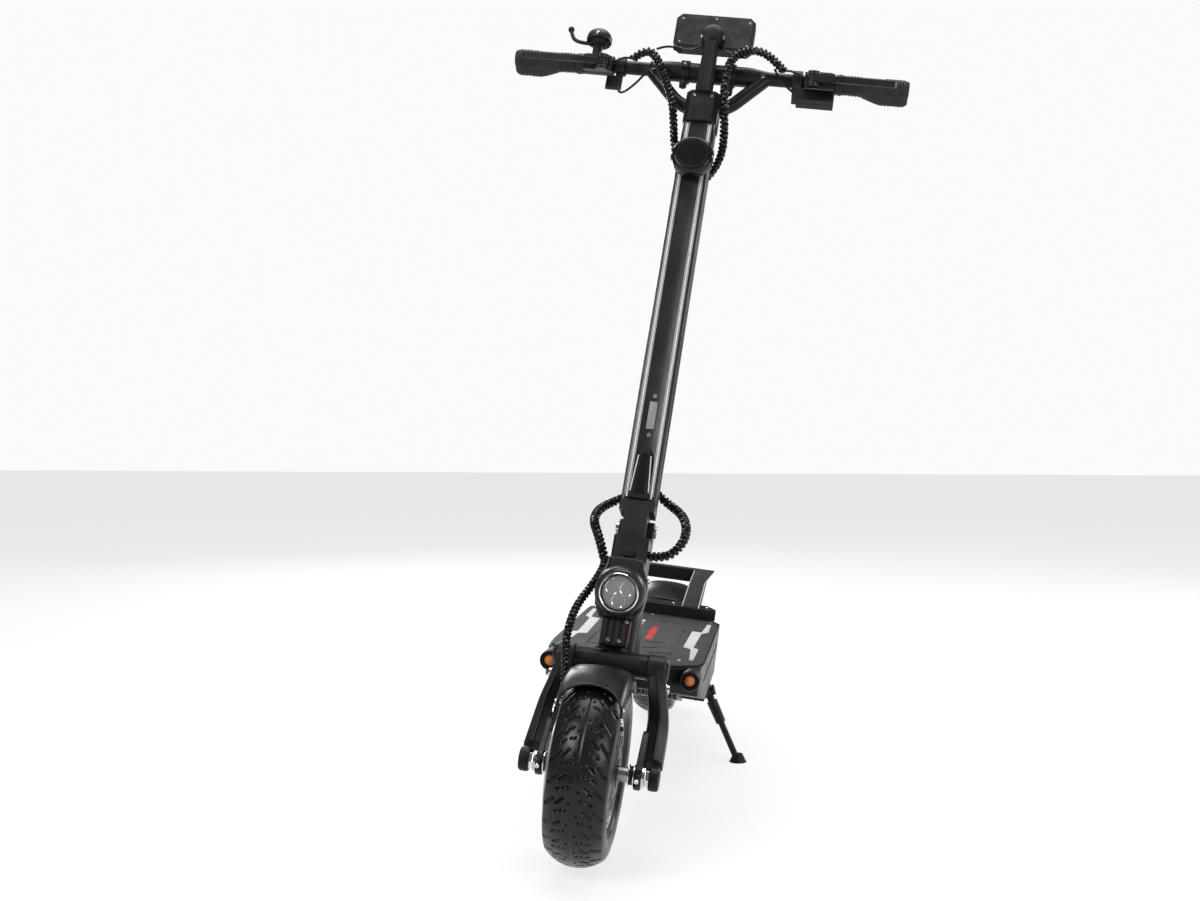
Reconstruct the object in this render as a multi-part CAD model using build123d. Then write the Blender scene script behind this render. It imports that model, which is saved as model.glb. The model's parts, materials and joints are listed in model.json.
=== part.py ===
from build123d import *
import math
import os

# A folding electric kick scooter, modelled upright and facing -Y, with the ground under the front
# wheel as the origin, then leaned over onto its side stand. Millimetres and degrees.

# Driving dimensions
LEAN = 7.0  # the parked scooter leans towards +X, onto its stand
RAKE = 20.0  # the steering axis leans back from the vertical
WHEELBASE = 930
TYRE_RADIUS = 127
TYRE_HALF_WIDTH = 41.5
CROWN_RADIUS = 55.6  # the tread's curve from side to side
RIM_RADIUS = 76
AXLE_RADIUS = 10
CALIPER_TOP = 70  # above the axle
RUNNING_GAP = 0.05  # on the radius, at every pin and shaft
STEER_Y, STEER_Z = 150, 290  # where the steering axis starts to be counted
ARM_INNER, ARM_OUTER = 62, 78
DROPOUT_OUTER = 71  # the front arms' thin plates at the axle
FRONT_BOSS = 52  # where the front arms' pivot bosses start
FRONT_PIVOT = (105, 252)  # y, z of the front swing arms' pivot
REAR_PIVOT = (785, 190)
PIVOT_SHAFT = 9
FOLD_B, FOLD_S = 22, 156  # the fold pin, behind and along the steering axis
STEM_HALF, STEM_DEPTH = 26, 22
STEM_FOOT, STEM_TOP = 190, 830
COLLAR_TOP = 886
BAR_S = 934
BAR_END = 318
BAR_RADIUS, BAR_MIDDLE_RADIUS = 11, 16
LEVER_X, LEVER_B = 172, -44  # the brake levers' pivots
LEVER_DROP = 25  # how far the levers point down, turned about the handlebar
POD_S = BAR_S - 30  # the middle of the switch pod, under the handlebar
DECK_BOTTOM, DECK_TOP = 148, 232
NOSE_BOTTOM, NOSE_END = 198, 430  # the deck's underside slopes up to its front edge
PORT_Y, PORT_Z = 450, 176  # the charging socket in the deck's side
MAT_TOP = 236
DECK_HALF = 121
DECK_FRONT, DECK_REAR = 212, 760
WALL = 4
STAND_PIVOT = (106, 588, 124)
STAND_AXIS = (0.929, 0, 0.370)
STAND_FOOT_X, STAND_FOOT_Y = 186, 554
LOOM_RADIUS = 7

parts = {}


def box(x0, x1, y0, y1, z0, z1):
    return Pos((x0 + x1) / 2, (y0 + y1) / 2, (z0 + z1) / 2) * Box(x1 - x0, y1 - y0, z1 - z0)


def sides(side, near, far):
    """The x range from near to far on one side, low value first."""
    return sorted((side * near, side * far))


def rod(radius, start, end, far_radius=None):
    """A cylinder, or a cone, from one point to another."""
    start, end = Vector(*start), Vector(*end)
    length = (end - start).length
    shape = Cylinder(radius, length) if far_radius is None else Cone(radius, far_radius, length)
    return Plane(origin=start, z_dir=end - start).location * Pos(0, 0, length / 2) * shape


def rod_x(radius, x0, x1, y, z):
    return rod(radius, (x0, y, z), (x1, y, z))


def ring_x(outer, inner, x0, x1, y, z):
    return rod_x(outer, x0, x1, y, z) - rod_x(inner, x0 - 1, x1 + 1, y, z)


def slab_x(points, x0, x1):
    """A plate between two x values, with an outline given as (y, z)."""
    outline = make_face(Polyline(*[(x0, y, z) for y, z in points], close=True))
    return extrude(outline, amount=x1 - x0, dir=(1, 0, 0))


def link_x(start, end, radius_a, radius_b, x0, x1):
    """A tapered link with round ends, between two (y, z) centres."""
    along = math.atan2(end[1] - start[1], end[0] - start[0])
    across = (-math.sin(along), math.cos(along))
    corners = [
        (start[0] + across[0] * radius_a, start[1] + across[1] * radius_a),
        (end[0] + across[0] * radius_b, end[1] + across[1] * radius_b),
        (end[0] - across[0] * radius_b, end[1] - across[1] * radius_b),
        (start[0] - across[0] * radius_a, start[1] - across[1] * radius_a),
    ]
    return slab_x(corners, x0, x1) + rod_x(radius_a, x0, x1, *start) + rod_x(radius_b, x0, x1, *end)


def lofted(*sections):
    """A solid through flat sections, each two x values and two (y, z) corners."""
    faces = []
    for x0, x1, low, high in sections:
        corners = [(x0, *low), (x1, *low), (x1, *high), (x0, *high)]
        faces.append(make_face(Polyline(*corners, close=True)))
    return loft(faces, ruled=True)


def stem_point(x, b, s):
    """b is the distance behind the steering axis, s the distance along it."""
    tilt = math.radians(RAKE)
    y = STEER_Y + b * math.cos(tilt) + s * math.sin(tilt)
    z = STEER_Z - b * math.sin(tilt) + s * math.cos(tilt)
    return (x, y, z)


def on_stem(shape):
    """Takes a shape drawn in (x, b, s) to its place."""
    return Pos(0, STEER_Y, STEER_Z) * Rot(-RAKE, 0, 0) * shape


def loom(points, radius, name):
    """A cable: straight runs joined by arcs as large as the runs allow."""
    route = [Vector(*p) for p in points]
    bends = []
    for before, here, after in zip(route, route[1:], route[2:]):
        first, second = here - before, after - here
        turn = math.radians(first.get_angle(second))
        bends.append(0.45 * min(first.length, second.length) / math.tan(turn / 2))
    path = FilletPolyline(*route, radius=bends)
    start = Plane(origin=path @ 0, z_dir=path % 0)
    tube = sweep(start * Circle(radius), path=path)
    expected = math.pi * radius**2 * path.length
    print(name, "bend radii", [round(b) for b in bends], "length", round(path.length),
          "volume over section times length", round(tube.volume / expected, 4))
    return tube


# Frame and deck


def deck_outline():
    half = DECK_HALF
    right = [(70, DECK_FRONT), (half - 3, 262), (half, 300), (half, 690), (84, DECK_REAR)]
    left = [(-x, y) for x, y in reversed(right)]
    return fillet(make_face(Polyline(*right, *left, close=True)).vertices(), 14)


def deck_solid(low, high, inset=0.0):
    outline = deck_outline()
    if inset:
        outline = offset(outline, amount=-inset)
    return Pos(0, 0, low) * extrude(outline, amount=high - low, dir=(0, 0, 1))


def above_keel(lift):
    """The space above the deck's sloping nose, raised by lift."""
    front, back = DECK_FRONT - 20, DECK_REAR + 20
    rise = (NOSE_BOTTOM - DECK_BOTTOM) * (NOSE_END - front) / (NOSE_END - DECK_FRONT)
    corners = [(front, DECK_BOTTOM + rise + lift), (NOSE_END, DECK_BOTTOM + lift), (NOSE_END, DECK_BOTTOM - 1),
               (back, DECK_BOTTOM - 1), (back, DECK_TOP + 1), (front, DECK_TOP + 1)]
    return slab_x(corners, -DECK_HALF - 20, DECK_HALF + 20)


def deck():
    hollow = deck_solid(DECK_BOTTOM, DECK_TOP - WALL, WALL) & above_keel(WALL)
    shell = (deck_solid(DECK_BOTTOM, DECK_TOP) & above_keel(0)) - hollow
    for side in (-1, 1):  # a finger groove along each side
        shell -= box(*sides(side, DECK_HALF - 1.5, DECK_HALF + 1), 320, 670, 196, 204)
    shell -= rod_x(13, -DECK_HALF - 2, -DECK_HALF + WALL + 2, PORT_Y, PORT_Z)
    parts["deck_shell"] = shell
    cover = deck_solid(DECK_BOTTOM - WALL, DECK_BOTTOM) - box(-130, 130, 200, NOSE_END, 140, 150)
    for x in (-60, -20, 20, 60):  # skid ribs
        cover += box(x - 4, x + 4, 560, 720, DECK_BOTTOM - 9, DECK_BOTTOM - WALL)
    parts["deck_bottom_cover"] = cover
    mat = deck_solid(DECK_TOP, MAT_TOP, 7)
    mat -= box(-130, 130, 684, 800, DECK_TOP - 1, MAT_TOP + 1)
    parts["deck_mat"] = mat
    parts["battery_pack"] = box(-98, 98, 436, 644, 152, 222)
    controller = box(-80, 80, 336, 424, 182, 206)
    for x in range(-72, 73, 12):
        controller += box(x - 1.5, x + 1.5, 340, 420, 206, 216)
    parts["motor_controllers"] = Compound([controller, box(-80, 80, 650, 730, 152, 196)])


def neck():
    neck = slab_x([(150, 260), (183, 247), (186, 208), (DECK_FRONT, NOSE_BOTTOM + 1), (DECK_FRONT, DECK_TOP),
                   (198, 318), (176, 330)], -27, 27)
    neck += on_stem(rod(27, (0, 0, -30), (0, 0, 50)))
    neck -= on_stem(rod(17, (0, 0, -31), (0, 0, 51)))
    for low, high in ((-31, -18), (38, 51)):
        neck -= on_stem(rod(21, (0, 0, low), (0, 0, high)))
    parts["frame_neck"] = neck
    rings = []
    for low, high in ((-30, -18), (38, 50)):
        ring = rod(21, (0, 0, low), (0, 0, high)) - rod(15 + RUNNING_GAP, (0, 0, low - 1), (0, 0, high + 1))
        rings.append(on_stem(ring))
    parts["headset_bearings"] = Compound(rings)


def turn_signals():
    pieces = []
    for side in (-1, 1):
        x, z = side * 106, DECK_TOP - 13.5
        housing = rod(13.5, (x, 214, z), (x, 268, z)) - (deck_solid(DECK_BOTTOM, DECK_TOP) & above_keel(0))
        housing -= rod(10.5, (x, 213, z), (x, 224, z))
        lens = rod(10.5, (x, 217, z), (x, 224, z)) + Pos(x, 217, z) * Sphere(7)
        pieces += [housing, lens]
    parts["turn_signals"] = Compound(pieces)


def riser():
    """The raised handle and kick plate on the deck's rear edge."""
    corners = [(110, 690), (110, 708), (92, 744), (-92, 744), (-110, 708), (-110, 690)]
    shape = Pos(0, 0, MAT_TOP) * extrude(make_face(Polyline(*corners, close=True)), amount=18, dir=(0, 0, 1))
    shape += box(-88, 88, 690, 744, DECK_TOP, MAT_TOP)
    for side in (-1, 1):
        foot = (*sides(side, 44, 78), (692, MAT_TOP), (742, MAT_TOP))
        bend = (*sides(side, 52, 82), (756, 294), (802, 292))
        head = (*sides(side, 56, 94), (778, 314), (806, 314))
        shape += lofted(foot, bend, head)
    shape += slab_x([(780, 290), (802, 290), (806, 314), (778, 314)], -58, 58)
    parts["rear_riser"] = shape


def charge_port():
    x = -DECK_HALF
    y, z = PORT_Y, PORT_Z
    socket = rod_x(13, x, x + 16, y, z) - rod_x(8, x - 1, x + 12, y, z)
    hinge = box(x - 4, x, y - 18, y - 13, z + 12, z + 16)
    parts["charge_port"] = Compound([socket + rod_x(2.5, x + 1, x + 13, y, z), hinge])
    cap = rod_x(15, x - 4, x - 0.5, y, z) - box(x - 5, x, y - 20, y - 12, z + 10, z + 18)
    parts["charge_cap"] = cap


def rear_bracket():
    y, z = REAR_PIVOT
    bracket = box(-52, 52, DECK_REAR, y, z - 20, z + 18) + rod_x(20, -60, 60, y, z)
    parts["rear_pivot_bracket"] = bracket - rod_x(PIVOT_SHAFT + RUNNING_GAP, -61, 61, y, z)


def along(start, direction, distance):
    return tuple(p + d * distance for p, d in zip(start, direction))


def kickstand():
    pivot, axis = STAND_PIVOT, STAND_AXIS
    bracket = rod(12, along(pivot, axis, -12), along(pivot, axis, 6))
    x, y, z = pivot
    bracket += box(x - 24, x + 4, y - 20, y + 20, z + 10, DECK_BOTTOM - WALL)
    bracket += box(x - 16, x, y - 12, y + 12, z - 2, z + 12)
    bracket -= rod(13, along(pivot, axis, 6), along(pivot, axis, 40))
    bolt = rod(5, along(pivot, axis, 6), along(pivot, axis, 22))
    bolt += rod(9, along(pivot, axis, 21.5), along(pivot, axis, 26))
    parts["kickstand_bracket"] = bracket + bolt
    knee = along(pivot, axis, 13)
    ground = (STAND_FOOT_X * math.sin(math.radians(LEAN)) - tyre_sink()) / math.cos(math.radians(LEAN))
    foot = (STAND_FOOT_X, STAND_FOOT_Y, ground)
    leg = Vector(*foot) - Vector(*knee)
    upper = along(knee, leg, 0.14)
    middle = along(knee, leg, 0.45)
    end = along(knee, leg, 0.93)
    shape = rod(12, along(pivot, axis, 6.5), along(pivot, axis, 20))
    shape += rod(6.5, knee, upper) + rod(9.5, upper, middle, 8.5) + rod(5.5, middle, end)
    shape += Pos(*foot) * Rot(0, -LEAN, 0) * Pos(0, 0, 7) * Cone(15, 8, 14)
    shape -= rod(5 + RUNNING_GAP, along(pivot, axis, 5), along(pivot, axis, 23))
    parts["kickstand_leg"] = shape


def tyre_sink():
    """How far the leaned tyre's axle would be lifted by its round tread."""
    lean = math.cos(math.radians(LEAN))
    return (TYRE_RADIUS - CROWN_RADIUS) * lean + CROWN_RADIUS - TYRE_RADIUS * lean


# Steering: fork, neck, lamp and fold hinge


def fork():
    b, s = -29.3, -51.1
    half = FRONT_BOSS - 0.7
    yoke = rod(32, (0, 0, -66), (0, 0, -30.5)) + box(2 - half, half - 2, b, -5, -66, -34)
    yoke += rod_x(17, -half, half, b, s) + rod(15, (0, 0, -40), (0, 0, 50.5))
    yoke -= rod(11, (0, 0, -20), (0, 0, 52))
    yoke = on_stem(yoke) - rod_x(PIVOT_SHAFT + RUNNING_GAP, -61, 61, *FRONT_PIVOT)
    parts["fork_yoke"] = yoke


def steering_neck():
    block = chamfer(box(-26, 26, -30, 36, 50.5, 134).edges().filter_by(Axis.Z), 5)
    for side in (-1, 1):
        x0, x1 = sides(side, 18, 26)
        block += rod_x(14, x0, x1, FOLD_B, FOLD_S) + box(x0, x1, FOLD_B - 14, FOLD_B + 14, 130, FOLD_S)
        block -= rod_x(6, x0 - 1, x1 + 1, FOLD_B, FOLD_S)
        x0, x1 = sides(side, 12.5, 18)
        block += box(x0, x1, 35, 48, 88, 104)
        block -= rod_x(2.5, x0 - 1, x1 + 1, 43, 96)
    block -= on_front_slot(9, 6, -31, -24)
    parts["steering_neck"] = on_stem(block)
    parts["lock_button"] = on_stem(on_front_slot(8.7, 5.7, -33, -27))
    pin = rod_x(6, -26, 26, FOLD_B, FOLD_S)
    for side in (-1, 1):
        pin += rod_x(9, *sides(side, 26, 31), FOLD_B, FOLD_S)
    parts["fold_pin"] = Compound([on_stem(pin), on_stem(rod_x(2.5, -18, 18, 43, 96))])
    latch = rod_x(5.5, -12, 12, 43, 96) + box(-11, 11, 38, 45, 96, 146)
    latch += box(-11, 11, 36.5, 52, 140, 146)
    latch -= rod_x(2.5 + RUNNING_GAP, -13, 13, 43, 96)
    parts["fold_latch"] = on_stem(latch)


def on_front_slot(half_width, half_height, front, back):
    """An oval block, lying across the neck's front at the lock button's place."""
    core = box(-half_width + half_height, half_width - half_height, front, back,
               108 - half_height, 108 + half_height)
    for x in (-half_width + half_height, half_width - half_height):
        core += rod(half_height, (x, front, 108), (x, back, 108))
    return core


def headlight():
    y, z = 92, 352
    housing = on_stem(chamfer(box(-26, 26, -60, -30, 8, 92).edges().filter_by(Axis.Z), 8))
    housing += rod(31, (0, y, z), (0, y + 36, z))
    cover = box(-19, 19, -48, -30, -30, 9)
    for x in (-14, -5, 4, 13):
        cover += box(x - 2, x + 2, -51, -47, -28, 6)
    housing += on_stem(cover)
    housing -= rod(26.5, (0, y - 1, z), (0, y + 18, z))
    parts["headlight_housing"] = housing
    lens = rod(26.5, (0, y + 4, z), (0, y + 8, z))
    parts["headlight_lens"] = lens


# Wheels and swing arms


def tyre():
    line = ThreePointArc((-31, 0, RIM_RADIUS), (-TYRE_HALF_WIDTH, 0, 97), (-38, 0, 112))
    line += ThreePointArc((-38, 0, 112), (0, 0, TYRE_RADIUS), (38, 0, 112))
    line += ThreePointArc((38, 0, 112), (TYRE_HALF_WIDTH, 0, 97), (31, 0, RIM_RADIUS))
    line += Line((31, 0, RIM_RADIUS), (25, 0, RIM_RADIUS))
    line += ThreePointArc((25, 0, RIM_RADIUS), (35, 0, 97), (31, 0, 107))
    line += ThreePointArc((31, 0, 107), (0, 0, TYRE_RADIUS - 9), (-31, 0, 107))
    line += ThreePointArc((-31, 0, 107), (-35, 0, 97), (-25, 0, RIM_RADIUS))
    line += Line((-25, 0, RIM_RADIUS), (-31, 0, RIM_RADIUS))
    return revolve(make_face(line), Axis.X)


def spun(points):
    """A ring about the X axis, from its (x, radius) outline."""
    return revolve(make_face(Polyline(*[(x, 0, r) for x, r in points], close=True)), Axis.X)


def hub_motor():
    bore = AXLE_RADIUS + RUNNING_GAP
    shell = spun([(-34, bore), (-34, 60), (-31, 66), (-33, 68), (-33, RIM_RADIUS),
                  (33, RIM_RADIUS), (33, 68), (31, 66), (27, 64), (27, 58), (-27, 58),
                  (-27, bore)])
    cover = spun([(27, bore), (27, 64), (31, 66), (36, 56), (38, 30), (38, bore)])
    boss = ring_x(22, bore, -46, -34, 0, 0)
    return Compound([shell + boss, cover])


def brake_disc():
    disc = ring_x(70, 22, -48, -46, 0, 0) + ring_x(22, AXLE_RADIUS + RUNNING_GAP, -50, -46, 0, 0)
    for turn in range(0, 360, 20):
        angle = math.radians(turn)
        disc -= rod_x(3, -49, -45, 60 * math.cos(angle), 60 * math.sin(angle))
    for turn in range(0, 360, 60):
        angle = math.radians(turn)
        disc -= rod_x(9, -49, -45, 40 * math.cos(angle), 40 * math.sin(angle))
    return disc


def motor_axle(arm_outer):
    """The fixed axle with its stator, washers and end caps."""
    axle = rod_x(AXLE_RADIUS, -86, 86, 0, 0) + rod_x(54, -20, 20, 0, 0)
    for side in (-1, 1):
        axle += rod_x(14, *sides(side, arm_outer, 81), 0, 0)
        axle += rod_x(16, *sides(side, 81, 95), 0, 0)
        axle += rod_x(13, *sides(side, 53, ARM_INNER), 0, 0)
    return axle


def caliper(y0, y1, z0, z1):
    body = box(-60, -40, y0, y1, z0, z1)
    for step in range(3):
        body += box(-62, -60, y0 + 3, y1 - 3, z0 + 3 + 11 * step, z0 + 8 + 11 * step)
    return body - rod_x(71.5, -51, -43, 0, 0)


def mudguard(first, last, half_width):
    """A curved strip over the tyre, between two angles from the front horizontal."""
    inner, outer = TYRE_RADIUS + 6, TYRE_RADIUS + 9
    full = ring_x(outer, inner, -half_width, half_width, 0, 0)
    rim = outer * 2
    points = [(0, 0)]
    for step in range(7):
        angle = math.radians(first + (last - first) * step / 6)
        points.append((-rim * math.cos(angle), rim * math.sin(angle)))
    return full & slab_x(points, -half_width - 1, half_width + 1)


def front_end():
    pivot_y, pivot_z = FRONT_PIVOT
    at_axle = Pos(0, 0, TYRE_RADIUS)
    arms = []
    for side in (-1, 1):
        x0, x1 = sides(side, ARM_INNER, DROPOUT_OUTER)
        head = (*sides(side, FRONT_BOSS, FRONT_BOSS + 25), (120.4, 244.7), (89.6, 259.3))
        elbow = (*sides(side, 64, 94), (84, 165.2), (56, 190.8))
        foot = (*sides(side, 66, 95), (24.7, 128.9), (9.3, 149.9))
        arm = lofted(head, elbow, foot) + link_x((0, TYRE_RADIUS), (45, 162), 18, 15, x0, x1)
        arm += rod_x(19, *sides(side, FRONT_BOSS, FRONT_BOSS + 25), pivot_y, pivot_z)
        arm += rod_x(15, *sides(side, FRONT_BOSS + 25, FRONT_BOSS + 30), pivot_y, pivot_z)
        arms.append(arm - rod_x(AXLE_RADIUS, x0 - 1, x1 + 1, 0, TYRE_RADIUS))
    arms.append(rod_x(PIVOT_SHAFT, -FRONT_BOSS, FRONT_BOSS, pivot_y, pivot_z))
    parts["front_arms"] = Compound(arms)
    parts["front_motor_axle"] = at_axle * motor_axle(DROPOUT_OUTER)
    grip = caliper(22, 52, 34, CALIPER_TOP)
    grip += link_x((46, 56), (60, 50), 6, 6, -ARM_INNER, -60)
    parts["front_caliper"] = at_axle * grip
    guard = mudguard(58, 134, 42)
    for side in (-1, 1):
        guard += box(*sides(side, 40, FRONT_BOSS + 2), 82, 92, 100, 109)
    parts["front_fender"] = at_axle * guard
    parts["front_tyre"] = at_axle * tyre()
    parts["front_hub_motor"] = at_axle * hub_motor()
    parts["front_brake_disc"] = at_axle * brake_disc()


def rear_end():
    pivot_y, pivot_z = REAR_PIVOT
    at_axle = Pos(0, WHEELBASE, TYRE_RADIUS)
    arms = []
    for side in (-1, 1):
        x0, x1 = sides(side, ARM_INNER, ARM_OUTER)
        arm = link_x(REAR_PIVOT, (WHEELBASE, TYRE_RADIUS), 24, 20, x0, x1)
        arm += rod_x(15, *sides(side, ARM_OUTER, ARM_OUTER + 5), pivot_y, pivot_z)
        arms.append(arm - rod_x(AXLE_RADIUS, x0 - 1, x1 + 1, WHEELBASE, TYRE_RADIUS))
    arms.append(rod_x(PIVOT_SHAFT, -ARM_INNER, ARM_INNER, pivot_y, pivot_z))
    parts["rear_arms"] = Compound(arms)
    parts["rear_motor_axle"] = at_axle * motor_axle(ARM_OUTER)
    grip = caliper(-54, -24, 34, CALIPER_TOP)
    grip += link_x((-46, 40), (-42, 24), 6, 6, -ARM_INNER, -60)
    parts["rear_caliper"] = at_axle * grip
    guard = mudguard(52, 165, 44)
    for side in (-1, 1):
        guard += box(*sides(side, 43, 59), -14, 14, TYRE_RADIUS + 6, TYRE_RADIUS + 8)
        guard += box(*sides(side, 56, 59), -14, 14, 15, TYRE_RADIUS + 8)
        guard += box(*sides(side, 56, ARM_INNER), -14, 6, 15, 19)
    parts["rear_fender"] = at_axle * guard
    parts["rear_tyre"] = at_axle * tyre()
    parts["rear_hub_motor"] = at_axle * hub_motor()
    parts["rear_brake_disc"] = at_axle * brake_disc()


# Stem


def stem():
    head = box(-17.5, 17.5, -24, FOLD_B, 135, STEM_FOOT - 16) + rod_x(13, -17.5, 17.5, FOLD_B, FOLD_S)
    head -= box(-18, 18, FOLD_B - 14, FOLD_B + 14, 130, FOLD_S - 13)
    head += box(-STEM_HALF, STEM_HALF, -24, STEM_DEPTH, STEM_FOOT - 16, STEM_FOOT)
    head -= rod_x(6 + RUNNING_GAP, -18, 18, FOLD_B, FOLD_S)
    parts["fold_hinge_head"] = on_stem(head)
    tube = box(-STEM_HALF, STEM_HALF, -STEM_DEPTH, STEM_DEPTH, STEM_FOOT, STEM_TOP)
    tube = fillet(tube.edges().filter_by(Axis.Z), 6)
    tube -= box(-STEM_HALF + 4, STEM_HALF - 4, -STEM_DEPTH + 6, STEM_DEPTH - 4, STEM_FOOT, STEM_TOP)
    for side in (-1, 1):  # grooves that hold the light strips
        tube -= box(*sides(side, 16.5, 19.5), -STEM_DEPTH - 1, -STEM_DEPTH + 2, STEM_FOOT, STEM_TOP)
    parts["stem_tube"] = on_stem(tube)
    strips = [on_stem(box(*sides(side, 16.5, 19.5), -STEM_DEPTH - 0.5, -STEM_DEPTH + 2,
                          STEM_FOOT + 4, STEM_TOP - 4)) for side in (-1, 1)]
    parts["stem_light_strips"] = Compound(strips)
    collar = chamfer(collar_block().edges().filter_by(Axis.Z), 9)
    parts["stem_collar"] = on_stem(collar)
    horn = rod(33, (0, -50, 756), (0, -27, 756)) + rod(12, (0, -28, 756), (0, -STEM_DEPTH, 756))
    parts["horn"] = on_stem(horn)


def collar_block():
    return box(-28, 28, -27, 27, STEM_TOP, COLLAR_TOP)


def handlebar():
    def profile(wall):
        small, large = BAR_RADIUS - wall, BAR_MIDDLE_RADIUS - wall
        points = [(-BAR_END, 0), (-BAR_END, small), (-100, small), (-60, large), (60, large),
                  (100, small), (BAR_END, small), (BAR_END, 0)]
        return spun(points)

    bar = Pos(0, 0, BAR_S) * profile(0)
    for side in (-1, 1):
        path = ThreePointArc((side * 92, 0, BAR_S - 4), (side * 62, 0, 899), (side * 20, 0, 866))
        start = Plane(origin=path @ 0, z_dir=path % 0)
        bar += sweep(start * Circle(11), path=path)
    bar -= Pos(0, 0, BAR_S) * profile(2.5)
    bar -= chamfer(collar_block().edges().filter_by(Axis.Z), 9)
    parts["handlebar"] = on_stem(bar)


def display():
    half = 14
    mount = box(-half, half, -34, -18, COLLAR_TOP - 4, 1000) - collar_block()
    mount += rod(18, (0, -34, 1006), (0, -8, 1006))
    parts["display_mount"] = on_stem(mount)
    housing = chamfer(box(-66, 66, -8, 10, 976, 1042).edges().filter_by(Axis.Y), 9)
    housing -= rod(5, (0, 5.5, 984), (0, 11, 984))
    parts["display_housing"] = on_stem(housing)
    parts["display_screen"] = on_stem(box(-58, 58, 10, 11.5, 993, 1037))
    parts["power_button"] = on_stem(rod(4.7, (0, 7, 984), (0, 12.5, 984)))


def dropped(shape):
    """Turns a lever or its clamp down about the handlebar."""
    return Pos(0, 0, BAR_S) * Rot(LEVER_DROP, 0, 0) * Pos(0, 0, -BAR_S) * shape


def controls():
    grips, masters = [], []
    for side in (-1, 1):
        x0, x1 = sides(side, 213, 325)
        grip = rod_x(16.5, x0, x1, 0, BAR_S)
        wing = Pos(side * 292, 0, BAR_S) * Rot(-40, 0, 0) * Pos(0, 15, 0) * Box(60, 34, 11)
        grip += fillet(wing.edges().filter_by(Axis.X), 5)
        grips.append(on_stem(grip - rod_x(BAR_RADIUS, *sides(side, 200, BAR_END), 0, BAR_S)))
        master = rod_x(16, *sides(side, 158, 206), 0, BAR_S) + box(*sides(side, 158, 206), -33, 0,
                                                                  BAR_S - 12, BAR_S + 12)
        x, b = side * LEVER_X, LEVER_B
        for low, high in ((-12, -5.3), (5.3, 12)):
            master += rod(10, (x, b, BAR_S + low), (x, b, BAR_S + high))
            master += box(x - 10, x + 10, b, -32, BAR_S + low, BAR_S + high)
        master += rod(4, (x, b, BAR_S - 12), (x, b, BAR_S + 12))
        master -= rod_x(BAR_RADIUS, *sides(side, 150, 210), 0, BAR_S)
        masters.append(dropped(master))
        blade = Polyline((x, b - 9), (side * 215, b - 13), (side * 300, b - 9), (side * 304, b - 3),
                         (side * 300, b), (side * 215, b - 4), (side * 178, b + 3), close=True)
        blade = Pos(0, 0, BAR_S - 5) * extrude(make_face(blade), amount=10, dir=(0, 0, 1))
        blade += rod(9.5, (x, b, BAR_S - 5), (x, b, BAR_S + 5))
        lever = blade - rod(4 + RUNNING_GAP, (x, b, BAR_S - 6), (x, b, BAR_S + 6))
        parts["brake_lever_left" if side > 0 else "brake_lever_right"] = on_stem(dropped(lever))
    parts["grips"] = Compound(grips)
    parts["brake_master_cylinders"] = Compound([on_stem(master) for master in masters])
    trigger = ring_x(15, BAR_RADIUS + RUNNING_GAP, -152, -138, 0, BAR_S)
    trigger += box(-152, -140, -6, 1, BAR_S - 26, BAR_S - 13) + box(-166, -140, -6, 1, BAR_S - 44, BAR_S - 21)
    parts["throttle_trigger"] = on_stem(trigger)
    bell(masters[0])


def ring_s(outer, inner, x, b, low, high):
    return rod(outer, (x, b, low), (x, b, high)) - rod(inner, (x, b, low - 1), (x, b, high + 1))


def bell(clamp):
    """The bell, whose post stands on the brake clamp's sloping top."""
    x, b, base = -186, -24, BAR_S + 12
    post = rod(8, (x, b, BAR_S), (x, b, base + 9)) - clamp
    post += rod(4, (x, b, base + 9), (x, b, base + 18))
    dome = revolve(make_face(Polyline((0, 0, 14.5), (21, 0, 14.5), (21, 0, 22), (17, 0, 31),
                                      (8, 0, 36), (0, 0, 36), close=True)), Axis.Z)
    hollow = revolve(make_face(Polyline((4, 0, 14), (19, 0, 14), (19, 0, 21), (15, 0, 29),
                                        (4, 0, 32), close=True)), Axis.Z)
    parts["bell"] = on_stem(post + Pos(x, b, base) * (dome - hollow))
    lever = ring_s(8, 4 + RUNNING_GAP, x, b, base + 9.3, base + 14)
    lever += box(x - 40, x - 5, b - 3, b + 3, base + 9.3, base + 14)
    lever += rod(3, (x - 38, b, base + 12), (x - 50, b, base + 34))
    lever += Pos(x - 50, b, base + 36) * Sphere(5)
    lever -= rod(4 + RUNNING_GAP, (x, b, base + 9), (x, b, base + 15))
    parts["bell_lever"] = on_stem(lever)


def switches():
    pod = ring_x(17, BAR_RADIUS, 138, 154, 0, BAR_S)
    pod += box(140, 154, -12, 14, POD_S - 4, BAR_S - 13) + box(148, 208, -12, 14, POD_S - 10, POD_S + 10)
    pod -= rod(5.5, (156, 8, POD_S), (156, 15, POD_S))
    pod -= box(166, 184, 8, 15, POD_S - 6, POD_S + 6)
    pod -= box(190, 202, 8, 15, POD_S - 8, POD_S + 8)
    parts["switch_pod"] = on_stem(pod)
    parts["horn_button"] = on_stem(rod(5.2, (156, 11, POD_S), (156, 17, POD_S)))
    parts["turn_switch"] = on_stem(box(170.5, 179.5, 8.3, 18, POD_S - 5.6, POD_S + 5.6))
    rocker = rod(5, (191, 11, POD_S), (201, 11, POD_S))
    rocker += box(191, 201, 10, 15.5, POD_S - 6, POD_S + 6)
    parts["light_switch"] = on_stem(rocker - box(190, 202, 0, 9, POD_S - 9, POD_S + 9))


# Cables in their spiral wraps


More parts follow.
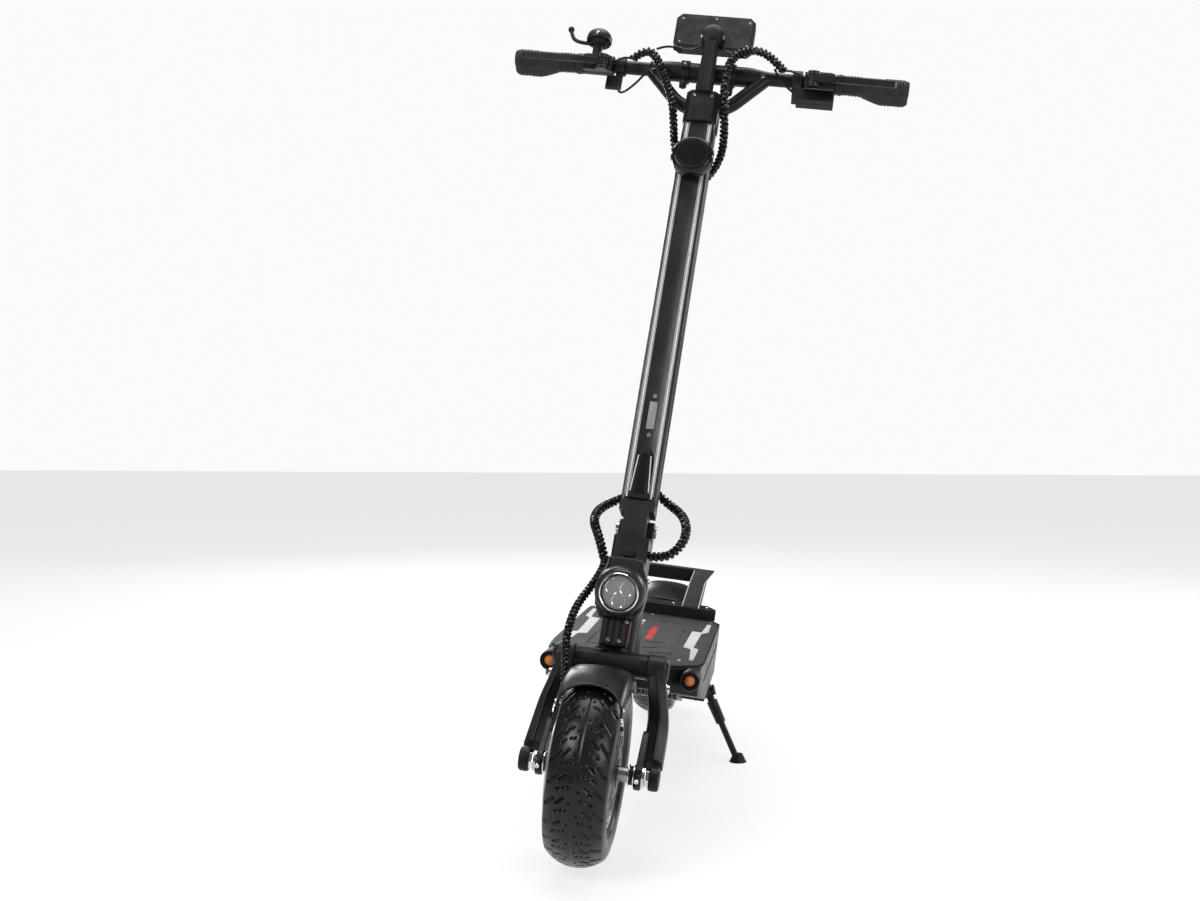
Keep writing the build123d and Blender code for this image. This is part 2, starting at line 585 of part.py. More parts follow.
def cables():
    left = [(-126, -22, 936), (-104, -28, 956), (-82, -32, 934), (-64, -30, 896), (-48, -30, 862),
            (-42, -14, 828), (-40, 14, 808), (-30, 40, 786), (-10, 50, 768), (-10, 46, 752),
            (-10, STEM_DEPTH, 752)]
    right = [(124, -22, 936), (98, -28, 962), (64, -30, 968), (36, -36, 944), (32, -42, 896),
             (38, -36, 848), (42, -10, 818), (40, 18, 798), (28, 42, 778), (10, 50, 760),
             (10, 46, 742), (10, STEM_DEPTH, 742)]
    pieces = [loom([stem_point(*p) for p in route], LOOM_RADIUS, name)
              for route, name in ((left, "upper loom left"), (right, "upper loom right"))]
    parts["upper_looms"] = Compound(pieces)
    left = [(13, STEM_DEPTH, 226), (13, 46, 226), (38, 56, 212), (64, 36, 192), (76, 6, 162),
            (72, -8, 134), (52, -8, 112), (26, -8, 112)]
    parts["lower_loom_left"] = loom([stem_point(*p) for p in left], LOOM_RADIUS, "lower loom left")
    right = [(-13, STEM_DEPTH, 226), (-13, 46, 226), (-36, 56, 210), (-60, 38, 190), (-66, 4, 160),
             (-48, -14, 128), (-36, -15, 98)]
    parts["lower_loom_right"] = loom([stem_point(*p) for p in right], LOOM_RADIUS, "lower loom right")
    start = stem_point(-36, -15, 98)
    hose = [start, stem_point(-33, -15.25, 90.5), (-44, 144, 352), (-60, 114, 324), (-64, 88, 296),
            (-62, 68, 272), (-54, 48, 244), (-52, 40, 220), (-52, 40, TYRE_RADIUS + CALIPER_TOP)]
    parts["front_brake_hose"] = loom(hose, 6, "front brake hose")


def park(shapes):
    """Leans every piece onto the stand and centres the whole over the origin."""
    leaned = {name: Rot(0, LEAN, 0) * shape for name, shape in shapes.items()}
    low, high = [1e9] * 3, [-1e9] * 3
    for shape in leaned.values():
        size = shape.bounding_box()
        low = [min(a, b) for a, b in zip(low, size.min)]
        high = [max(a, b) for a, b in zip(high, size.max)]
    shift = (-(low[0] + high[0]) / 2, -(low[1] + high[1]) / 2, -low[2])
    return {name: Pos(*shift) * shape for name, shape in leaned.items()}, shift


for build in (deck, neck, turn_signals, riser, charge_port, rear_bracket, kickstand, fork,
              steering_neck, headlight, front_end, rear_end, stem, handlebar, display, controls,
              switches, cables):
    build()
parked, SHIFT = park(parts)
print("shift", SHIFT, "nodes", len(parked))
os.makedirs("parts", exist_ok=True)
for name, shape in parked.items():
    export_step(shape, f"parts/{name}.step")
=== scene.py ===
"""The looks of a folding electric kick scooter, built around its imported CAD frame.

Shapes are drawn in millimetres in two spaces: UPRIGHT (x, y, z), the scooter standing straight with the
front contact point as its origin, and STEM (x, b, s), where s runs up the steering axis and b behind it.
"""
import json
import math

import bpy
import bmesh
from mathutils import Matrix, Vector

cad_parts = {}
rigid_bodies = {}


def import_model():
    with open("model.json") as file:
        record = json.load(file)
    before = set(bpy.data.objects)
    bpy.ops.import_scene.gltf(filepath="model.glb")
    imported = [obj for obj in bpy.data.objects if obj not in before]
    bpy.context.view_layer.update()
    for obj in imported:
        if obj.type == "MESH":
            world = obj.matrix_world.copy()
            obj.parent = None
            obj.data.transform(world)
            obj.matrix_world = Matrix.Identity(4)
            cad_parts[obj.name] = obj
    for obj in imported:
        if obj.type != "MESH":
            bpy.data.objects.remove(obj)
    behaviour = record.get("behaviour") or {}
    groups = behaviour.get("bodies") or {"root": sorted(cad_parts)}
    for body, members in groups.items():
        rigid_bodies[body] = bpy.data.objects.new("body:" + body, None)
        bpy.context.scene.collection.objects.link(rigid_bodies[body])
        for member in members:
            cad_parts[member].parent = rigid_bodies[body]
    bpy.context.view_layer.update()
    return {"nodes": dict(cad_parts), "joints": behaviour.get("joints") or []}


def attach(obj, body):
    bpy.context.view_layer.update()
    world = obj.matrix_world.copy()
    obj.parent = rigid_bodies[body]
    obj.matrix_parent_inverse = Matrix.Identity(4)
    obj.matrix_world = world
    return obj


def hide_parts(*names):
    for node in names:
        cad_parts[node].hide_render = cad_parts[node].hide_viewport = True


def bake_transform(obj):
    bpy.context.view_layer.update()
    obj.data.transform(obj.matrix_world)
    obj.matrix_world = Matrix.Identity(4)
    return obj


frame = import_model()
NODES = frame["nodes"]
JOINTS = {joint["name"]: joint for joint in frame["joints"]}

MM = 0.001
TYRE_RADIUS, RIM_RADIUS = 127, 76
STEM_FOOT, STEM_TOP = 190, 830
BAR_S = 934
DECK_TOP, MAT_TOP = 232, 236
LEVER_DROP = 25  # how far the brake levers point down, turned about the handlebar
SMOOTH_ANGLE = math.radians(38)


def joint_at(name):
    return Vector(JOINTS[name]["pos_m"])


def space_at(origin, x, y, z):
    """The matrix from millimetres along three directions to the frame's metres."""
    columns = [axis * MM for axis in (x, y, z)] + [origin]
    return Matrix([[column[row] for column in columns] for row in range(3)] + [[0, 0, 0, 1]])


SIDE = Vector(JOINTS["front_wheel_spin"]["axis"]).normalized()
REAR = Vector((0, 1, 0))
UP = SIDE.cross(REAR)
STEM_UP = Vector(JOINTS["steering_turn"]["axis"]).normalized()
UPRIGHT = space_at(joint_at("front_wheel_spin") - UP * TYRE_RADIUS * MM, SIDE, REAR, UP)
STEM = space_at(joint_at("steering_turn"), SIDE, STEM_UP.cross(SIDE), STEM_UP)
FRONT_AXLE = space_at(joint_at("front_wheel_spin"), SIDE, REAR, UP)
REAR_AXLE = space_at(joint_at("rear_wheel_spin"), SIDE, REAR, UP)

# Materials


class Paint:
    """A node material: a base colour that varies, a grained surface and worn edges."""

    def __init__(self, name, colour, roughness, metallic=0.0, coat=0.0):
        self.material = bpy.data.materials.new(name)
        self.material.use_nodes = True
        self.tree = self.material.node_tree
        self.shader = self.tree.nodes["Principled BSDF"]
        self.colour = (*colour, 1.0)
        self.shader.inputs["Base Color"].default_value = self.colour
        self.shader.inputs["Roughness"].default_value = roughness
        self.shader.inputs["Metallic"].default_value = metallic
        self.shader.inputs["Coat Weight"].default_value = coat
        self.shader.inputs["Coat Roughness"].default_value = 0.12
        self.shader.inputs["Specular IOR Level"].default_value = 0.3
        self.roughness = roughness
        self.place = self.tree.nodes.new("ShaderNodeTexCoord").outputs["Object"]
        self.bump = None
        self.tint = None

    def node(self, kind, **sockets):
        made = self.tree.nodes.new(kind)
        for name, value in sockets.items():
            made.inputs[name.replace("_", " ")].default_value = value
        return made

    def link(self, output, target):
        self.tree.links.new(output, target)

    def noise(self, scale, detail=3.0, stretch=None):
        texture = self.node("ShaderNodeTexNoise", Scale=scale, Detail=detail)
        place = self.place
        if stretch:
            mapping = self.node("ShaderNodeMapping", Scale=stretch)
            self.link(place, mapping.inputs["Vector"])
            place = mapping.outputs["Vector"]
        self.link(place, texture.inputs["Vector"])
        return texture.outputs["Fac"]

    def mix(self, factor, colour):
        """Mixes another colour over what the base colour is so far."""
        mixer = self.node("ShaderNodeMix")
        mixer.data_type = "RGBA"
        if self.tint is None:
            mixer.inputs["A"].default_value = self.colour
        else:
            self.link(self.tint, mixer.inputs["A"])
        mixer.inputs["B"].default_value = (*colour, 1.0)
        self.link(factor, mixer.inputs["Factor"])
        self.tint = mixer.outputs["Result"]
        self.link(self.tint, self.shader.inputs["Base Color"])
        return self

    def ranged(self, value, low, high, out_low, out_high):
        ranger = self.node("ShaderNodeMapRange")
        for name, number in zip(("From Min", "From Max", "To Min", "To Max"),
                                (low, high, out_low, out_high)):
            ranger.inputs[name].default_value = number
        self.link(value, ranger.inputs["Value"])
        return ranger.outputs["Result"]

    def mottle(self, colour, scale=14, amount=0.6):
        return self.mix(self.ranged(self.noise(scale, 5), 0.35, 0.7, 0.0, amount), colour)

    def smudge(self, spread=0.08, scale=22):
        uneven = self.ranged(self.noise(scale, 4), 0.3, 0.7, self.roughness - spread,
                             self.roughness + spread)
        self.link(uneven, self.shader.inputs["Roughness"])
        return self

    def relief(self, height, depth_mm, strength=1.0):
        bump = self.node("ShaderNodeBump", Strength=strength, Distance=depth_mm * MM)
        self.link(height, bump.inputs["Height"])
        if self.bump:
            self.link(self.bump, bump.inputs["Normal"])
        self.bump = bump.outputs["Normal"]
        self.link(self.bump, self.shader.inputs["Normal"])
        return self

    def grain(self, scale=900, depth_mm=0.05, stretch=None):
        return self.relief(self.noise(scale, 2, stretch), depth_mm)

    def dots(self, scale, depth_mm):
        cells = self.node("ShaderNodeTexVoronoi", Scale=scale, Randomness=0.15)
        self.link(self.place, cells.inputs["Vector"])
        return self.relief(self.ranged(cells.outputs["Distance"], 0.15, 0.45, 1.0, 0.0), depth_mm)

    def worn(self, colour, amount=0.5):
        edges = self.node("ShaderNodeNewGeometry").outputs["Pointiness"]
        sharp = self.ranged(edges, 0.52, 0.60, 0.0, amount)
        broken = self.node("ShaderNodeMath")
        broken.operation = "MULTIPLY"
        self.link(sharp, broken.inputs[0])
        self.link(self.ranged(self.noise(60, 4), 0.4, 0.62, 0.0, 1.0), broken.inputs[1])
        return self.mix(broken.outputs[0], colour)

    def set(self, **sockets):
        for name, value in sockets.items():
            self.shader.inputs[name.replace("_", " ")].default_value = value
        return self


def paints():
    made = {}
    black, dark = (0.006, 0.006, 0.007), (0.011, 0.011, 0.012)
    made["powder"] = Paint("powder_black", black, 0.38).mottle(dark).smudge().grain(1400,
            0.03).worn((0.05, 0.05, 0.05), 0.4).set(Specular_IOR_Level=0.18)
    made["cast"] = Paint("cast_black", (0.008, 0.008, 0.009),
                         0.42).mottle((0.014, 0.014, 0.015)).smudge(0.1).grain(650,
                                 0.07).worn((0.09, 0.09, 0.09), 0.4).set(Specular_IOR_Level=0.22)
    made["satin"] = Paint("satin_anodised", (0.010, 0.010, 0.011),
                          0.36).mottle((0.02, 0.02, 0.022)).smudge().grain(1800, 0.015)
    made["stem"] = Paint("stem_anodised", (0.012, 0.012, 0.014), 0.34).mottle((0.026, 0.027, 0.03),
            20).smudge().grain(1800, 0.02)
    made["plastic"] = Paint("textured_plastic", (0.007, 0.007, 0.008),
                            0.46).mottle((0.012, 0.012, 0.013)).smudge().grain(1100,
                                    0.05).set(Specular_IOR_Level=0.2)
    made["gloss"] = Paint("gloss_plastic", (0.004, 0.004, 0.005),
                          0.24).mottle((0.008, 0.008, 0.009)).smudge(0.05).grain(120, 0.02)
    made["visor"] = Paint("satin_visor", (0.004, 0.004, 0.005), 0.3).mottle((0.009, 0.009, 0.01),
            20).smudge(0.06).grain(160, 0.03).set(Specular_IOR_Level=0.22)
    made["grip"] = Paint("grip_rubber", (0.012, 0.012, 0.013),
                         0.58).mottle((0.02, 0.02, 0.021)).smudge(0.08).grain(1500, 0.06)
    made["mat"] = Paint("mat_rubber", (0.02, 0.021, 0.023), 0.62).mottle((0.03, 0.031, 0.034),
            9).smudge(0.08).dots(420, 0.22).grain(1800, 0.04)
    made["tyre"] = Paint("tyre_rubber", (0.006, 0.006, 0.006), 0.3).mottle((0.01, 0.01, 0.01),
            30).smudge(0.1, 40).grain(1300, 0.05)
    made["wrap"] = Paint("spiral_wrap", (0.005, 0.005, 0.006), 0.22).mottle((0.01, 0.01, 0.01),
            60).smudge(0.06).grain(500, 0.02)
    made["steel"] = Paint("brushed_steel", (0.55, 0.55, 0.56), 0.3, 1.0).mottle((0.38, 0.38, 0.39),
            30).smudge(0.1).grain(500, 0.03, (1, 14, 1))
    made["chrome"] = Paint("polished_bolt", (0.78, 0.78, 0.8), 0.14, 1.0).mottle((0.55, 0.55, 0.57), 50,
            0.4).smudge(0.05)
    made["strip"] = Paint("light_strip", (0.62, 0.64, 0.67), 0.28, 0.3).mottle((0.75, 0.77, 0.8),
            20).smudge(0.06).grain(900, 0.02)
    made["silver"] = Paint("silver_print", (0.6, 0.61, 0.62), 0.42).mottle((0.45, 0.46, 0.47),
            40).smudge(0.1).dots(420, 0.12)
    made["red"] = Paint("red_print", (0.5, 0.02, 0.015), 0.45).mottle((0.35, 0.015, 0.01),
            40).smudge(0.08).grain(900, 0.03)
    made["rust"] = Paint("copper_trim", (0.24, 0.05, 0.02), 0.4, 0.4).mottle((0.16, 0.03, 0.015),
            40).smudge(0.08).grain(900, 0.03)
    made["plate"] = Paint("grey_plate", (0.2, 0.2, 0.21), 0.5, 0.5).mottle((0.32, 0.32, 0.33),
            60).smudge().dots(900, 0.2)
    made["reflector"] = Paint("reflector_chrome", (0.9, 0.91, 0.9), 0.12, 1.0).mottle((0.75, 0.77, 0.75),
            90, 0.4).grain(400, 0.02)
    made["led"] = Paint("led_chip", (0.85, 0.72, 0.32), 0.35).mottle((0.95, 0.88, 0.5), 300).grain(2000,
            0.04)
    made["lens"] = Paint("clear_lens", (0.9, 0.93, 0.95), 0.04).mottle((0.8, 0.84, 0.86), 60).grain(60,
            0.01).set(Alpha=0.13, Specular_IOR_Level=0.5)
    made["amber"] = Paint("amber_lens", (0.55, 0.16, 0.02), 0.14).mottle((0.75, 0.3, 0.08), 200).dots(700,
            0.25).set(Alpha=0.72, Specular_IOR_Level=0.5)
    made["bulb"] = Paint("lamp_bulb", (0.95, 0.62, 0.36), 0.2).mottle((1, 0.8, 0.6), 300).grain(900, 0.02)
    made["screen"] = Paint("screen_glass", (0.004, 0.005, 0.008), 0.06,
                           coat=1.0).mottle((0.008, 0.01, 0.016), 8).smudge(0.03)
    made["rim"] = Paint("polished_rim", (0.66, 0.66, 0.67), 0.24, 1.0).mottle((0.42, 0.42, 0.43),
            25).smudge(0.1).grain(400, 0.03, (12, 1, 1))
    made["alloy"] = Paint("grey_alloy", (0.16, 0.16, 0.17), 0.38, 0.9).mottle((0.26, 0.26, 0.27),
            30).smudge(0.1).grain(500, 0.04)
    made["cell"] = Paint("pack_wrap", (0.02, 0.05, 0.16), 0.35).mottle((0.03, 0.07, 0.22),
            20).smudge().grain(300, 0.03)
    return {name: paint.material for name, paint in made.items()}


PAINT = paints()

# Shapes: lists of points and faces in millimetres


def skin(rings, closed=True, caps=True, loop=False):
    """Faces between rings of points. closed joins each ring's ends, loop joins the last ring to the first."""
    count = len(rings[0])
    points = [tuple(p) for ring in rings for p in ring]
    faces = []
    for row in range(len(rings) if loop else len(rings) - 1):
        a, b = row * count, (row + 1) % len(rings) * count
        for i in range(count if closed else count - 1):
            j = (i + 1) % count
            faces.append((a + i, a + j, b + j, b + i))
    if caps and closed and not loop:
        faces.append(tuple(range(count - 1, -1, -1)))
        faces.append(tuple(range(len(points) - count, len(points))))
    return points, faces


def oriented(axis, along, u, v):
    """The point at along on an axis, with u and v on the other two."""
    return {"x": (along, u, v), "y": (u, along, v), "z": (u, v, along)}[axis]


def lathe(profile, axis="x", at=(0, 0, 0), segments=48, ring=False):
    """Turns (along, radius) points about an axis; ring joins the profile's two ends."""
    rings = []
    for along, radius in profile:
        turn = [2 * math.pi * k / segments for k in range(segments)]
        rings.append([Vector(at) + Vector(oriented(axis, along, radius * math.cos(t), radius * math.sin(t)))
                      for t in turn])
    return skin(rings, loop=ring)


def drum(radius, low, high, axis="x", at=(0, 0, 0), edge=0.6, segments=40):
    """A cylinder with chamfered rims."""
    return lathe([(low, radius - edge), (low + edge, radius), (high - edge, radius), (high, radius - edge)],
                 axis, at, segments)


def ball(radius, at, segments=24):
    profile = [(-radius * math.cos(t), max(radius * math.sin(t), radius * 0.02))
               for t in (math.pi * k / 12 for k in range(13))]
    return lathe(profile, "z", at, segments)


def prism(outline, axis, low, high):
    return skin([[oriented(axis, end, u, v) for u, v in outline] for end in (low, high)])


def block(x0, x1, y0, y1, z0, z1):
    return prism([(y0, z0), (y1, z0), (y1, z1), (y0, z1)], "x", x0, x1)


def joined(*shapes):
    points, faces = [], []
    for some_points, some_faces in shapes:
        start = len(points)
        points += some_points
        faces += [tuple(i + start for i in face) for face in some_faces]
    return points, faces


def moved(shape, matrix):
    return [tuple(matrix @ Vector(p)) for p in shape[0]], shape[1]


def rod(start, end, radius, end_radius=None, segments=28, edge=0.5):
    """A round bar between two points."""
    start, end = Vector(start), Vector(end)
    length = (end - start).length
    end_radius = radius if end_radius is None else end_radius
    profile = [(0, radius - edge), (edge, radius), (length - edge, end_radius), (length, end_radius - edge)]
    turn = (end - start).to_track_quat("Z", "Y").to_matrix().to_4x4()
    return moved(lathe(profile, "z", segments=segments), Matrix.Translation(start) @ turn)


def oval(width, height, count=20, power=2.0):
    """A closed section: round at power 2, squarer above it."""
    points = []
    for k in range(count):
        t = 2 * math.pi * k / count
        c, s = math.cos(t), math.sin(t)
        points.append((math.copysign(abs(c) ** (2 / power), c) * width / 2,
                       math.copysign(abs(s) ** (2 / power), s) * height / 2))
    return points


def sweep(route, sections, first_side=None):
    """Carries a section, or one section for each point, along a route."""
    route = [Vector(p) for p in route]
    if not isinstance(sections[0][0], (tuple, list)):
        sections = [sections] * len(route)
    side = Vector(first_side) if first_side else None
    rings = []
    for i, point in enumerate(route):
        ahead = (route[min(i + 1, len(route) - 1)] - route[max(i - 1, 0)]).normalized()
        if side is None:
            side = ahead.orthogonal()
        side = (side - ahead * side.dot(ahead)).normalized()
        other = ahead.cross(side)
        rings.append([point + side * u + other * v for u, v in sections[i]])
    return skin(rings)


def smooth_route(points, steps=10):
    """The smooth line through a NURBS spline's control points, read back as evenly spread points."""
    curve = bpy.data.curves.new("route", "CURVE")
    curve.dimensions = "3D"
    spline = curve.splines.new("NURBS")
    spline.points.add(len(points) - 1)
    for knot, point in zip(spline.points, points):
        knot.co = (*point, 1)
    spline.order_u = 3
    spline.use_endpoint_u = True
    spline.resolution_u = steps
    holder = bpy.data.objects.new("route", curve)
    mesh = bpy.data.meshes.new_from_object(holder)
    line = [v.co.copy() for v in mesh.vertices]
    bpy.data.objects.remove(holder)
    bpy.data.curves.remove(curve)
    bpy.data.meshes.remove(mesh)
    return line


def even(line, step):
    """The same line with points a fixed distance apart."""
    lengths = [0.0]
    for a, b in zip(line, line[1:]):
        lengths.append(lengths[-1] + (b - a).length)
    count = max(2, round(lengths[-1] / step))
    out, place = [], 0
    for k in range(count + 1):
        target = lengths[-1] * k / count
        while place < len(line) - 2 and lengths[place + 1] < target:
            place += 1
        part = (target - lengths[place]) / max(lengths[place + 1] - lengths[place], 1e-9)
        out.append(line[place].lerp(line[place + 1], min(max(part, 0), 1)))
    return out


def helix(line, radius, pitch, strand, per_turn=16):
    """A strand wound round a line, and its flat turns' section."""
    step = pitch / per_turn
    route = even(line, step)
    side = None
    wound = []
    for i, point in enumerate(route):
        ahead = (route[min(i + 1, len(route) - 1)] - route[max(i - 1, 0)]).normalized()
        side = ahead.orthogonal() if side is None else side
        side = (side - ahead * side.dot(ahead)).normalized()
        other = ahead.cross(side)
        t = 2 * math.pi * i / per_turn
        wound.append(point + (side * math.cos(t) + other * math.sin(t)) * radius)
    return sweep(wound, oval(strand, strand, 8))


def make(name, shape, space, body, paint, bevel=0.0, segments=2, stands_for=(), subdivide=0, solid=0.0):
    """One finished piece: its mesh in the frame, its edges rounded, riding on its body."""
    work = bmesh.new()
    for point in shape[0]:
        work.verts.new(space @ Vector(point))
    work.verts.ensure_lookup_table()
    for face in shape[1]:
        try:
            work.faces.new([work.verts[i] for i in face])
        except ValueError:
            continue
    bmesh.ops.remove_doubles(work, verts=work.verts, dist=0.002 * MM)
    bmesh.ops.recalc_face_normals(work, faces=work.faces)
    mesh = bpy.data.meshes.new(name)
    work.to_mesh(mesh)
    work.free()
    return settle(name, mesh, body, paint, bevel, segments, stands_for, subdivide, solid)


def settle(name, mesh, body, paint, bevel, segments, stands_for, subdivide=0, solid=0.0):
    for polygon in mesh.polygons:
        polygon.use_smooth = True
    piece = bpy.data.objects.new(name, mesh)
    bpy.context.scene.collection.objects.link(piece)
    mesh.materials.clear()
    mesh.materials.append(PAINT[paint])
    if solid:
        thick = piece.modifiers.new("thickness", "SOLIDIFY")
        thick.thickness = solid * MM
        thick.offset = 0
    if bevel:
        rounded = piece.modifiers.new("edges", "BEVEL")
        rounded.width = bevel * MM
        rounded.segments = segments
        rounded.limit_method = "ANGLE"
        rounded.angle_limit = math.radians(32)
        rounded.use_clamp_overlap = True
        rounded.harden_normals = False
    if subdivide:
        finer = piece.modifiers.new("smooth", "SUBSURF")
        finer.levels = finer.render_levels = subdivide
    if bevel and not subdivide:
        weighted = piece.modifiers.new("normals", "WEIGHTED_NORMAL")
        weighted.keep_sharp = True
    if not subdivide:
        mesh.set_sharp_from_angle(angle=SMOOTH_ANGLE)
    if body:
        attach(piece, body)
    if stands_for:
        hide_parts(*stands_for)
    return piece


def body_name(node):
    return NODES[node].parent.name.split(":", 1)[1]


def soften(node, paint, bevel=0.8, segments=2):
    """Takes over a CAD node's shape with rounded edges."""
    work = bmesh.new()
    work.from_mesh(NODES[node].data)
    bmesh.ops.remove_doubles(work, verts=work.verts, dist=0.01 * MM)
    bmesh.ops.dissolve_limit(work, angle_limit=math.radians(2), verts=work.verts, edges=work.edges)
    mesh = bpy.data.meshes.new(node + "_shape")
    work.to_mesh(mesh)
    work.free()
    return settle(node + "_finished", mesh, body_name(node), paint, bevel, segments, (node,))


def coat(node, paint):
    """Gives a CAD node that keeps its own mesh a finished material."""
    mesh = NODES[node].data
    mesh.materials.clear()
    mesh.materials.append(PAINT[paint])


def screw(at, direction, radius=3.2, height=1.6):
    """A socket-head screw standing on a surface, its socket cut as a round well."""
    direction = Vector(direction).normalized()
    turn = Matrix.Translation(Vector(at)) @ direction.to_track_quat("Z", "Y").to_matrix().to_4x4()
    head = [(0, radius), (height * 0.75, radius), (height, radius * 0.86), (height, radius * 0.5)]
    well = [(height * 0.25, radius * 0.46)]
    return moved(lathe(head + well, "z", segments=24), turn)


# Wheels


def tread_depth(around, across):
    """How deep the tyre is cut at a place on its tread, both in millimetres."""
    pitch = 2 * math.pi * TYRE_RADIUS / 26
    cut = 0.0
    if abs(across) < 0.7:
        cut = 0.9
    side = 1 if across > 0 else -1
    x = abs(across)
    cell = (around + (pitch / 2 if side > 0 else 0)) % pitch - pitch / 2
    slashes = (((13, -9), (22, 0), 1.25), ((25, -7), (36, 6), 1.5), ((8.5, 6), (9, 7), 1.3),
               ((14, 7), (14.5, 8), 1.2), ((5, -4), (5.4, -3), 1.0), ((20, 9), (24, 13), 1.1))
    for (x0, y0), (x1, y1), half in slashes:
        for shift in (-pitch, 0, pitch):
            px, py = x - x0, cell - y0 - shift
            dx, dy = x1 - x0, y1 - y0
            t = min(max((px * dx + py * dy) / (dx * dx + dy * dy), 0), 1)
            gap = math.hypot(px - dx * t, py - dy * t)
            if gap < half + 0.5:
                cut = max(cut, 2.4 * min(1, (half + 0.5 - gap) / 0.8))
    return cut


def tyre_profile():
    """The tyre's outer line as (x, radius): bead, side wall with its ridges, shoulder and crown."""
    side = [(31, 76), (33.4, 79.5), (36.6, 83.5), (37.4, 84.4), (38.2, 84.9), (39.8, 89), (40.8, 93.5),
            (41.4, 98), (41.1, 103), (40.2, 107.5), (38.9, 110.6)]
    crown_radius = 55.6
    crown = []
    for k in range(47):
        angle = math.radians(43 * (1 - k / 23))
        crown.append((crown_radius * math.sin(angle), TYRE_RADIUS - crown_radius * (1 - math.cos(angle))))
    inner = [(-25, 76), (-34, 97), (-30, 106), (0, 117), (30, 106), (34, 97), (25, 76)]
    return side + crown + [(-x, r) for x, r in reversed(side)] + inner


def tyre(name, node, space, body):
    steps = 560
    profile = tyre_profile()
    rings = []
    for k in range(steps):
        turn = 2 * math.pi * k / steps
        ring = []
        for i, (x, radius) in enumerate(profile):
            if 11 <= i < 58:
                radius -= tread_depth(turn * TYRE_RADIUS, x)
            ring.append((x, radius * math.cos(turn), radius * math.sin(turn)))
        rings.append(ring)
    make(name, skin(rings, loop=True), space, body, "tyre", stands_for=(node,))


def wheel(end, space):
    body = end + "_wheel"
    tyre(end + "_tread", end + "_tyre", space, body)
    bore, seat = 10.3, RIM_RADIUS - 0.2
    shell = [(-34, bore), (-34, 24), (-35.5, 27), (-35.5, 54), (-33, 58), (-30.5, 64), (-31.2, 66.5),
             (-31.5, 70),
             (-24, 70), (-24, 73), (24, 73), (24, 70), (31.5, 70), (31, 66), (28, 64.5), (27.2, 58),
             (27.2, bore)]
    make(end + "_motor_shell", lathe(shell, segments=96, ring=True), space, body, "satin", 0.5,
         stands_for=(end + "_hub_motor",))
    for side in (-1, 1):
        lip = [(31.5, 69.5), (33.4, 70.5), (33.8, 73.5), (32.6, seat), (30.6, seat), (30.6, 70.5)]
        lip = [(side * x, r) for x, r in lip]
        make(f"{end}_rim_lip_{'left' if side > 0 else 'right'}", lathe(lip, segments=96, ring=True), space,
             body,
             "rim", 0.3)
    cover = [(27.4, bore), (27.4, 63.5), (31, 65.4), (33, 63.5), (35.6, 57), (36.4, 50), (36.6, 34),
             (37.8, 31),
             (38, 20), (39.6, 18.5), (39.8, bore)]
    make(end + "_motor_cover", lathe(cover, segments=96, ring=True), space, body, "satin", 0.4)
    screws, ribs = [], []
    for k in range(12):
        t = 2 * math.pi * (k + 0.5) / 12
        screws.append(screw((33.4, 60.6 * math.cos(t), 60.6 * math.sin(t)), (1, 0, 0), 2.6, 1.4))
        rib = block(35.6, 37.2, -1.2, 1.2, 33, 50)
        ribs.append(moved(rib, Matrix.Rotation(t + math.pi / 12, 4, "X")))
    for k in range(6):
        t = 2 * math.pi * k / 6
        screws.append(screw((-50.2, 16.5 * math.cos(t), 16.5 * math.sin(t)), (-1, 0, 0), 2.6, 1.2))
    make(end + "_motor_screws", joined(*screws), space, body, "chrome")
    make(end + "_motor_ribs", joined(*ribs), space, body, "satin", 0.3)
    soften(end + "_brake_disc", "steel", 0.2, 1)
    valve = rod((30, 0, 58), (39, 0, 60), 3.0) if end == "front" else rod((30, 0, -58), (39, 0, -60), 3.0)
    make(end + "_valve", valve, space, body, "plastic")


for end, space in (("front", FRONT_AXLE), ("rear", REAR_AXLE)):
    wheel(end, space)


def axle_hardware(end, space):
    """The fixed axle with its washers, nuts and big end caps."""
    body = end + "_arm"
    shaft = joined(drum(10, -84, 84), drum(52, -19, 19, edge=3, segments=64))
    make(end + "_axle_shaft", shaft, space, body, "steel", stands_for=(end + "_motor_axle",))
    for side in (-1, 1):
        label = "left" if side > 0 else "right"
        washers = joined(*[moved(drum(14.5, 0, 1.6, edge=0.3), Matrix.Translation((side * x - 0.8, 0, 0)))
                           for x in ((54, 60.8, 72.2, 74.4) if end == "front" else (54, 60.8, 79.2, 81.2))])
        make(f"{end}_axle_washers_{label}", washers, space, body, "chrome")
        spacer = drum(12.5, *sorted((side * 54.5, side * 60.4)))
        make(f"{end}_axle_spacer_{label}", spacer, space, body, "cast")
        if end == "front":
            nut = drum(12.5, *sorted((side * 75.4, side * 82)), segments=6)
            make(f"{end}_axle_nut_{label}", nut, space, body, "chrome", 0.4)
        cap = [(81, 13), (81, 15.2), (84, 16.4), (92, 16.2), (94.4, 14.5), (95, 11), (95, 3)]
        cap = lathe([(side * x, r) for x, r in cap], segments=36)
        make(f"{end}_axle_cap_{label}", cap, space, body, "plastic", 0.5)


for end, space in (("front", FRONT_AXLE), ("rear", REAR_AXLE)):
    axle_hardware(end, space)

# Swing arms and brakes


